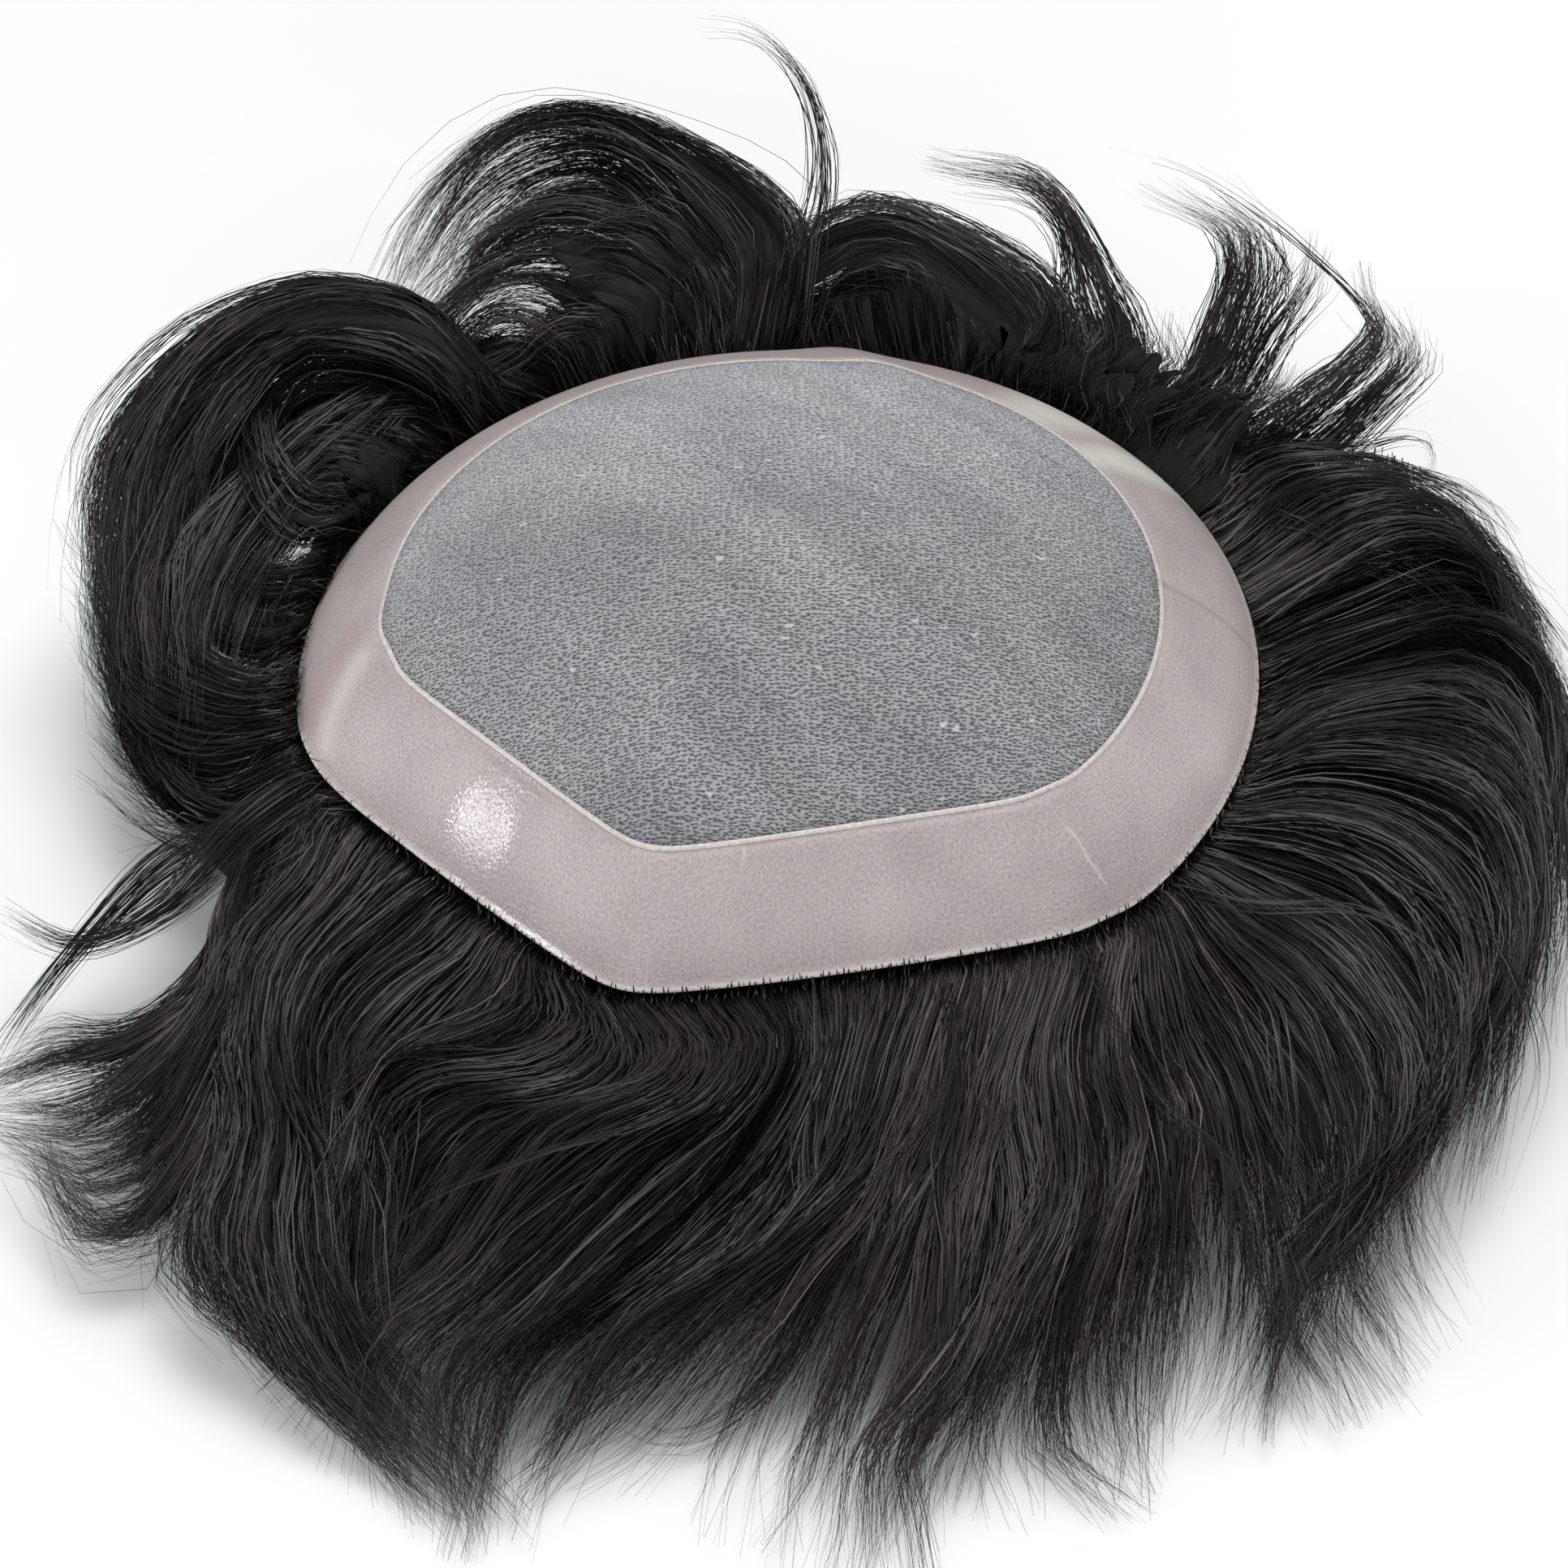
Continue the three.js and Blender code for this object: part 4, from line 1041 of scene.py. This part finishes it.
def lay_strands(name, node, lines, trim, tone, roll, steps, rng):
    """Makes the strands of a stream, in pieces of a bounded size."""
    lines = cut_and_step(lines, trim, steps)
    count = len(lines)
    keep_above_floor(lines, rng.uniform(0.45, 3.0, (count, 1)))
    keep_out_of_dome(lines)
    shares = np.linspace(0, 1, steps)
    taper = 1 - 0.8 * smooth_step(0.68, 1.0, shares)
    half_wide = rng.uniform(*STRAND_WIDTH, count)[:, None] / 2 * taper
    roll = roll[:, None] + rng.normal(0, 0.4, count)[:, None] * shares
    most = PIECE_TRIANGLES // (2 * (steps - 1))
    for number, begin in enumerate(range(0, count, most), 1):
        part = slice(begin, begin + most)
        points, faces, uv = ribbons(lines[part], half_wide[part], leaning(lines[part], roll[part]))
        tones = np.repeat(tone[part], steps * 2)
        piece = make_mesh(f"{name}_strands_{number}", points, faces, uv, tones)
        finish_piece(piece, HAIR_STRAND, "hair", node)


def lay_body(name, node, guides, depth, fill, solid, rng):
    """The dense dark body of a stream, under its top hairs and shorter than they are.

    A fill of 1 takes it down to the floor along its root half, and less takes it part of the way.
    """
    wide = marks_across(guides)[-1]
    whole = fill == 1
    margin = 0 if whole else min(3.0, wide * 0.18)
    columns = max(5, round(wide / BODY_COLUMN))
    places = np.linspace(margin, wide - margin, columns)
    scallop = 0.05 * (1 + np.sin(places * 0.31 + rng.uniform(0, 6)))
    ragged = 0.97 - scallop - rng.uniform(0, 0.16, columns)
    lines = cut_and_step(between(guides, places), solid * ragged, BODY_ROWS)
    over = frames(lines)[1]
    shares = np.linspace(0, 1, BODY_ROWS)
    ridges = 0.8 * np.sin(places[:, None] * 1.25 + 1.5 * np.sin(shares * 5))
    ridges = ridges * smooth_step(0.05, 0.3, shares)
    edge = np.clip(np.minimum(places - margin, wide - margin - places) / 4, 0, 1) ** 0.5
    edge = np.ones((columns, 1)) if whole else edge[:, None]
    thick = depth * 0.5 * edge * (1 - 0.97 * smooth_step(0.45, 1.0, shares))
    cover = (3.2 if fill else 0.0) * smooth_step(0.02, 0.2, shares)
    top = lines + over * (ridges * edge + thick * (0 if fill else 0.5) - cover)[..., None]
    bottom = lines - over * (thick * (1 if fill else 0.5) + cover)[..., None]
    piled = fill * (1 - smooth_step(0.4, 0.9, shares))
    bottom[..., 2] = bottom[..., 2] * (1 - piled) + 0.4 * piled
    bottom[..., 2] = np.minimum(bottom[..., 2], top[..., 2] - 0.2)
    for face in (top, bottom):
        keep_above_floor(face, 0.2)
        keep_out_of_dome(face)
    rings = np.concatenate([top, bottom[::-1]]).transpose(1, 0, 2)
    around = 2 * columns
    step = np.arange(columns - 1)
    cap = np.stack([step, step + 1, around - 2 - step, around - 1 - step], -1)
    far_cap = cap[:, ::-1] + (BODY_ROWS - 1) * around
    faces = np.concatenate([ring_faces(BODY_ROWS, around), cap, far_cap])
    run = shares[:, None] * solid * length_of(guides).mean()
    u = np.concatenate([places, places[::-1] + wide])
    uv = np.stack(np.broadcast_arrays(u, run), -1).reshape(-1, 2)
    body = make_mesh(name + "_body", rings.reshape(-1, 3), faces, uv)
    finish_piece(body, HAIR_MASS, "hair", node)


def build_stream(number, name, node, thickness, depth, fill, solid):
    rng = np.random.default_rng(STREAM_SEED + number)
    flows = FLOWS[name]
    # The right hair starts at the last flow line of the front hair.
    if name == "right":
        flows = FLOWS["front"][-1:] + flows
    guides = undulate(np.array([flow_line(*flow) for flow in flows]))
    lay_body(name, node, guides, depth, fill, solid, rng)
    length = length_of(guides).mean()
    count = round(marks_across(guides)[-1] * length * HAIRS_PER_AREA * thickness / THINNING)
    hairs = comb(guides, count, depth, rng)
    steps = int(np.clip(round(length / STEP_LENGTH) + 3, *STEPS))
    lay_strands(name, node, *hairs, steps, rng)


def build_wisp(number, node, count, root, *stations):
    rng = np.random.default_rng(WISP_SEED + number)
    spread = math.sqrt(count) * 0.32
    narrow = 1 - 0.7 * smooth_step(0.2, 0.9, SHARES)

    def strewn(flat, fly):
        """Offsets that keep the hairs in a narrowing bundle but let their ends fly apart."""
        bundle = rng.standard_normal((count, 1)) * spread * flat * narrow
        return bundle + rng.normal(0, fly, (count, 1)) * SHARES ** 2

    lines = np.repeat(flow_line(root, *stations)[None], count, 0)
    lines = moved(lines, strewn(1, 1.5), strewn(0.6, 1.2))
    lines = wave(lines, 0.4, 30, 60, rng)
    trim = rng.uniform(0.72, 1.0, count)
    tone = rng.uniform(0, 0.8, count)
    roll = rng.normal(0, 0.6, count)
    lay_strands(f"wisp_{number}", node, lines, trim, tone, roll, WISP_STEPS, rng)


# The heap under the panel and the knots of the rim

HEAP_AROUND = 120
HEAP_ROOF_RINGS = 14
HEAP_WALL_RINGS = 20
FALL_LOCKS = 210
FALL_HAIRS = 13
FALL_STEPS = 11
RIGHT_END_LOCKS = 46
FOOT_HEIGHT = 0.6
KNOTS = 520


def heap_radius(heading, depth, shoulder):
    foot = rim_radius(heading) - HEAP_FOOT_INSET
    flute = 0.5 + 0.5 * np.cos(HEAP_FLUTES * (heading - HEAP_SWIRL * depth))
    return shoulder + (foot - shoulder) * depth - HEAP_FLUTE_DEPTH * flute * np.sqrt(depth)


def build_crown():
    """The fluted body of the heap of hair under the panel."""
    heading = headings(HEAP_AROUND)
    edge = share_from_rim(heading, STRIP_WIDTH + BEAD_WIDTH + GAP)
    lift = SHEET_THICKNESS + GAP
    rings = [under_dome(heading, edge * part, lift) for part in np.linspace(0.03, 1, HEAP_ROOF_RINGS)]
    shoulder = rings[-1]
    wide = np.hypot(shoulder[:, 0], shoulder[:, 1])
    for depth in np.linspace(0, 1, HEAP_WALL_RINGS)[1:]:
        rings.append(polar(heading, heap_radius(heading, depth, wide), shoulder[:, 2] * (1 - depth)))
    foot = rings[-1]
    for part in (0.6, 0.2, 0.03):
        rings.append(foot * [part, part, 0])
    v = np.repeat(np.arange(len(rings)) * 3.0, HEAP_AROUND)
    uv = np.stack([np.tile(heading * BASE_RADIUS, len(rings)), v], -1)
    faces = ring_faces(len(rings), HEAP_AROUND, close_rings=True)
    crown = make_mesh("crown_body", np.concatenate(rings), faces, uv)
    finish_piece(crown, HAIR_MASS, "hair", "crown_hair")


def lay_falls(name, node, tops, middles, feet, flat, rng):
    """Locks that hang down, each from its top past a middle to a foot on the floor."""
    lock = np.repeat(np.arange(len(tops)), FALL_HAIRS)
    count = len(lock)
    bend = rng.normal(0, 2.2, (len(tops), 3))[lock] * [1, 1, 0]
    spread = rng.normal(0, 1.5, (count, 3)) * [1, 1, 0.5]
    places = np.stack([
        tops[lock] + spread,
        tops[lock] * [1, 1, 0.8] + spread + bend * 0.5,
        middles[lock] + spread * 1.1 + bend,
        feet[lock] * [1, 1, 0] + [0, 0, 7] + spread * 0.8 - bend * 0.6,
        feet[lock] + rng.normal(0, 1.8, (count, 3)) * [1, 1, 0.2],
    ], 1)
    reach = np.linspace(0, 1, FALL_STEPS) * rng.uniform(0.72, 1.0, (count, 1))
    weights = [math.comb(4, k) * reach ** k * (1 - reach) ** (4 - k) for k in range(5)]
    lines = sum(weight[..., None] * places[:, k][:, None] for k, weight in enumerate(weights))
    keep_above_floor(lines, rng.uniform(0.45, 2.0, (count, 1)))
    keep_out_of_dome(lines)
    half_wide = rng.uniform(0.11, 0.19, count)[:, None] * (1 - 0.7 * smooth_step(0.6, 1.0, reach))
    roll = rng.normal(0, 0.4, (count, 1, 1))
    lean = flat[lock][:, None] * np.cos(roll) + np.cross(flat[lock], UP)[:, None] * np.sin(roll)
    tone = 0.5 * rng.random(len(tops))[lock] + 0.4 * rng.random(count)
    tones = np.repeat(tone, FALL_STEPS * 2)
    piece = make_mesh(name, *ribbons(lines, half_wide, lean), tones)
    finish_piece(piece, HAIR_STRAND, "hair", node)


def build_falls(seed):
    """The hair that hangs down to the floor, with one row of random draws for both of its pieces."""
    rng = np.random.default_rng(seed)
    build_heap_falls(rng)
    build_right_end_falls(rng)


def build_heap_falls(rng):
    """The hair tied in under the strip, from there down the heap to the floor."""
    locks = FALL_LOCKS // THINNING
    heading = (np.arange(locks) + rng.random(locks)) * math.tau / locks
    outward = rim_outward(heading)
    tops = rim_point(heading) - outward * rng.uniform(3, 16, (locks, 1)) - [0, 0, 4]
    turned = heading + rng.normal(0.10, 0.11, locks)
    foot = polar(turned, 1, 0)
    off = rng.uniform(0.5, 8, (locks, 1))
    wide = (rim_radius(turned) - HEAP_FOOT_INSET)[:, None]
    middles = foot * (wide - 3 + off) + [0, 0, 0.45 * RIM_HEIGHT]
    feet = foot * (wide + off + rng.random((locks, 1)) ** 2 * 26) + [0, 0, FOOT_HEIGHT]
    lay_falls("heap_falls", "crown_hair", tops, middles, feet, np.cross(outward, UP), rng)


def build_right_end_falls(rng):
    """The end of the right hair, from its last flow line down to the floor."""
    locks = RIGHT_END_LOCKS // THINNING
    line = flow_line(*FLOWS["right"][-1])
    at = rng.uniform(0.10, 0.70, locks) * (LINE_POINTS - 1)
    tops = line[at.astype(int)] - [0, 0, 3]
    outward = polar(np.arctan2(tops[:, 1], tops[:, 0]), 1, 0)
    backward = np.cross(UP, outward)
    middles = tops * [1, 1, 0.5] + backward * rng.uniform(1, 6, (locks, 1))
    feet = tops * [1, 1, 0] + backward * rng.uniform(-1, 18, (locks, 1)) + [0, 0, FOOT_HEIGHT]
    feet = feet - outward * rng.uniform(-6, 20, (locks, 1))
    lay_falls("right_end_falls", "right_hair", tops, middles, feet, outward, rng)


def build_knots(seed):
    """The hairs tied over the rim: short dark ends from the strip's face down over its edge."""
    rng = np.random.default_rng(seed)
    heading = headings(KNOTS) + rng.normal(0, 0.003, KNOTS)
    share = share_from_rim(heading, rng.uniform(0.3, 1.5, KNOTS))
    start = under_dome(heading, share, -0.45)
    outward = rim_outward(heading)
    edge = rim_point(heading)
    sway = rng.normal(0, 0.4, (KNOTS, 1)) * np.cross(outward, UP)
    over = edge + outward * 0.4 + sway * 0.5
    down = edge + outward * 0.4 + sway - [0, 0, 0.9]
    end = edge + outward * 1.2 + sway * 2 - [0, 0, 1.6]
    lines = np.stack([start, (start + over) / 2 + outward * 0.1, over, down, end], 1)
    half_wide = rng.uniform(0.10, 0.17, (KNOTS, 1)) * [0.7, 1.0, 1.0, 0.9, 0.6]
    lean = leaning(lines, rng.uniform(-0.6, 0.6, (KNOTS, 1)))
    points, faces, uv = ribbons(lines, half_wide, lean)
    piece = make_mesh("rim_knots", points, faces, uv, np.full(len(points), 0.2))
    finish_piece(piece, HAIR_STRAND, "hair")


# The setting

def build_floor():
    size = 3.0
    corners = [(-size, -size, 0), (size, -size, 0), (size, size, 0), (-size, size, 0)]
    mesh = bpy.data.meshes.new("floor")
    mesh.from_pydata(corners, [], [(0, 1, 2, 3)])
    n = Nodes("floor")
    mottle = n.add("ShaderNodeTexNoise", {"Scale": 60.0, "Detail": 2.0}).outputs[0]
    n.surface({
        "Base Color": n.ramp(mottle, (0.3, (0.945, 0.95, 0.948)), (0.7, (0.96, 0.965, 0.963))),
        "Roughness": 0.8,
        "Specular IOR Level": 0.1,
    })
    mesh.materials.append(n.material)
    floor = new_object("floor", mesh)


def build_camera():
    elevation = math.radians(37.5)
    distance = 800
    shift_right = 1.4
    shift_up = -22.0
    focal_pixels = 5250
    frame_pixels = 1932
    sensor_width = 36
    ahead = np.array([0, math.cos(elevation), -math.sin(elevation)])
    upward = np.array([0, math.sin(elevation), math.cos(elevation)])
    place = -ahead * distance + upward * shift_up + np.array([shift_right, 0, RIM_HEIGHT])
    data = bpy.data.cameras.new("camera")
    data.sensor_width = sensor_width
    data.lens = sensor_width * focal_pixels / frame_pixels
    camera = new_object("camera", data)
    camera.location = place * MM
    camera.rotation_euler = (math.pi / 2 - elevation, 0, 0)
    bpy.context.scene.camera = camera


def add_light(name, place, target, size, power):
    """A rectangular light in metres, turned to its target."""
    data = bpy.data.lights.new(name, "AREA")
    data.shape = "RECTANGLE"
    data.size, data.size_y = size
    data.energy = power
    light = new_object(name, data)
    light.location = place
    direction = Vector(target) - Vector(place)
    light.rotation_euler = direction.to_track_quat("-Z", "Y").to_euler()


def build_lights():
    world = bpy.data.worlds.new("studio")
    world.use_nodes = True
    background = world.node_tree.nodes["Background"]
    background.inputs["Color"].default_value = (0.93, 1.0, 0.98, 1)
    background.inputs["Strength"].default_value = 0.34
    bpy.context.scene.world = world
    add_light("overhead", place=(0.1, 0.35, 1.4), target=(0, 0, 0.03), size=(0.9, 0.9), power=12.5)
    add_light("left_window", place=(-1.0, -0.26, 0.33), target=(-0.05, -0.05, 0.045),
              size=(0.2, 0.24), power=3.2)
    add_light("front_fill", place=(0.0, -1.3, 0.42), target=(0, 0, 0.04), size=(1.2, 0.6), power=9)
    add_light("right_fill", place=(1.0, 0.25, 0.35), target=(0.05, 0, 0.05), size=(0.35, 0.4), power=2.2)


HAIR_MASS = hair_streaks()
HAIR_STRAND = hair_strands()
build_camera()
build_panel()
build_strip()
build_bead()
for number, stream in enumerate(STREAMS):
    build_stream(number, *stream)
for number, wisp in enumerate(WISPS, 1):
    build_wisp(number, *wisp)
build_crown()
build_falls(seed=31)
build_knots(seed=41)
build_floor()
build_lights()
bpy.context.scene.view_settings.view_transform = "Standard"
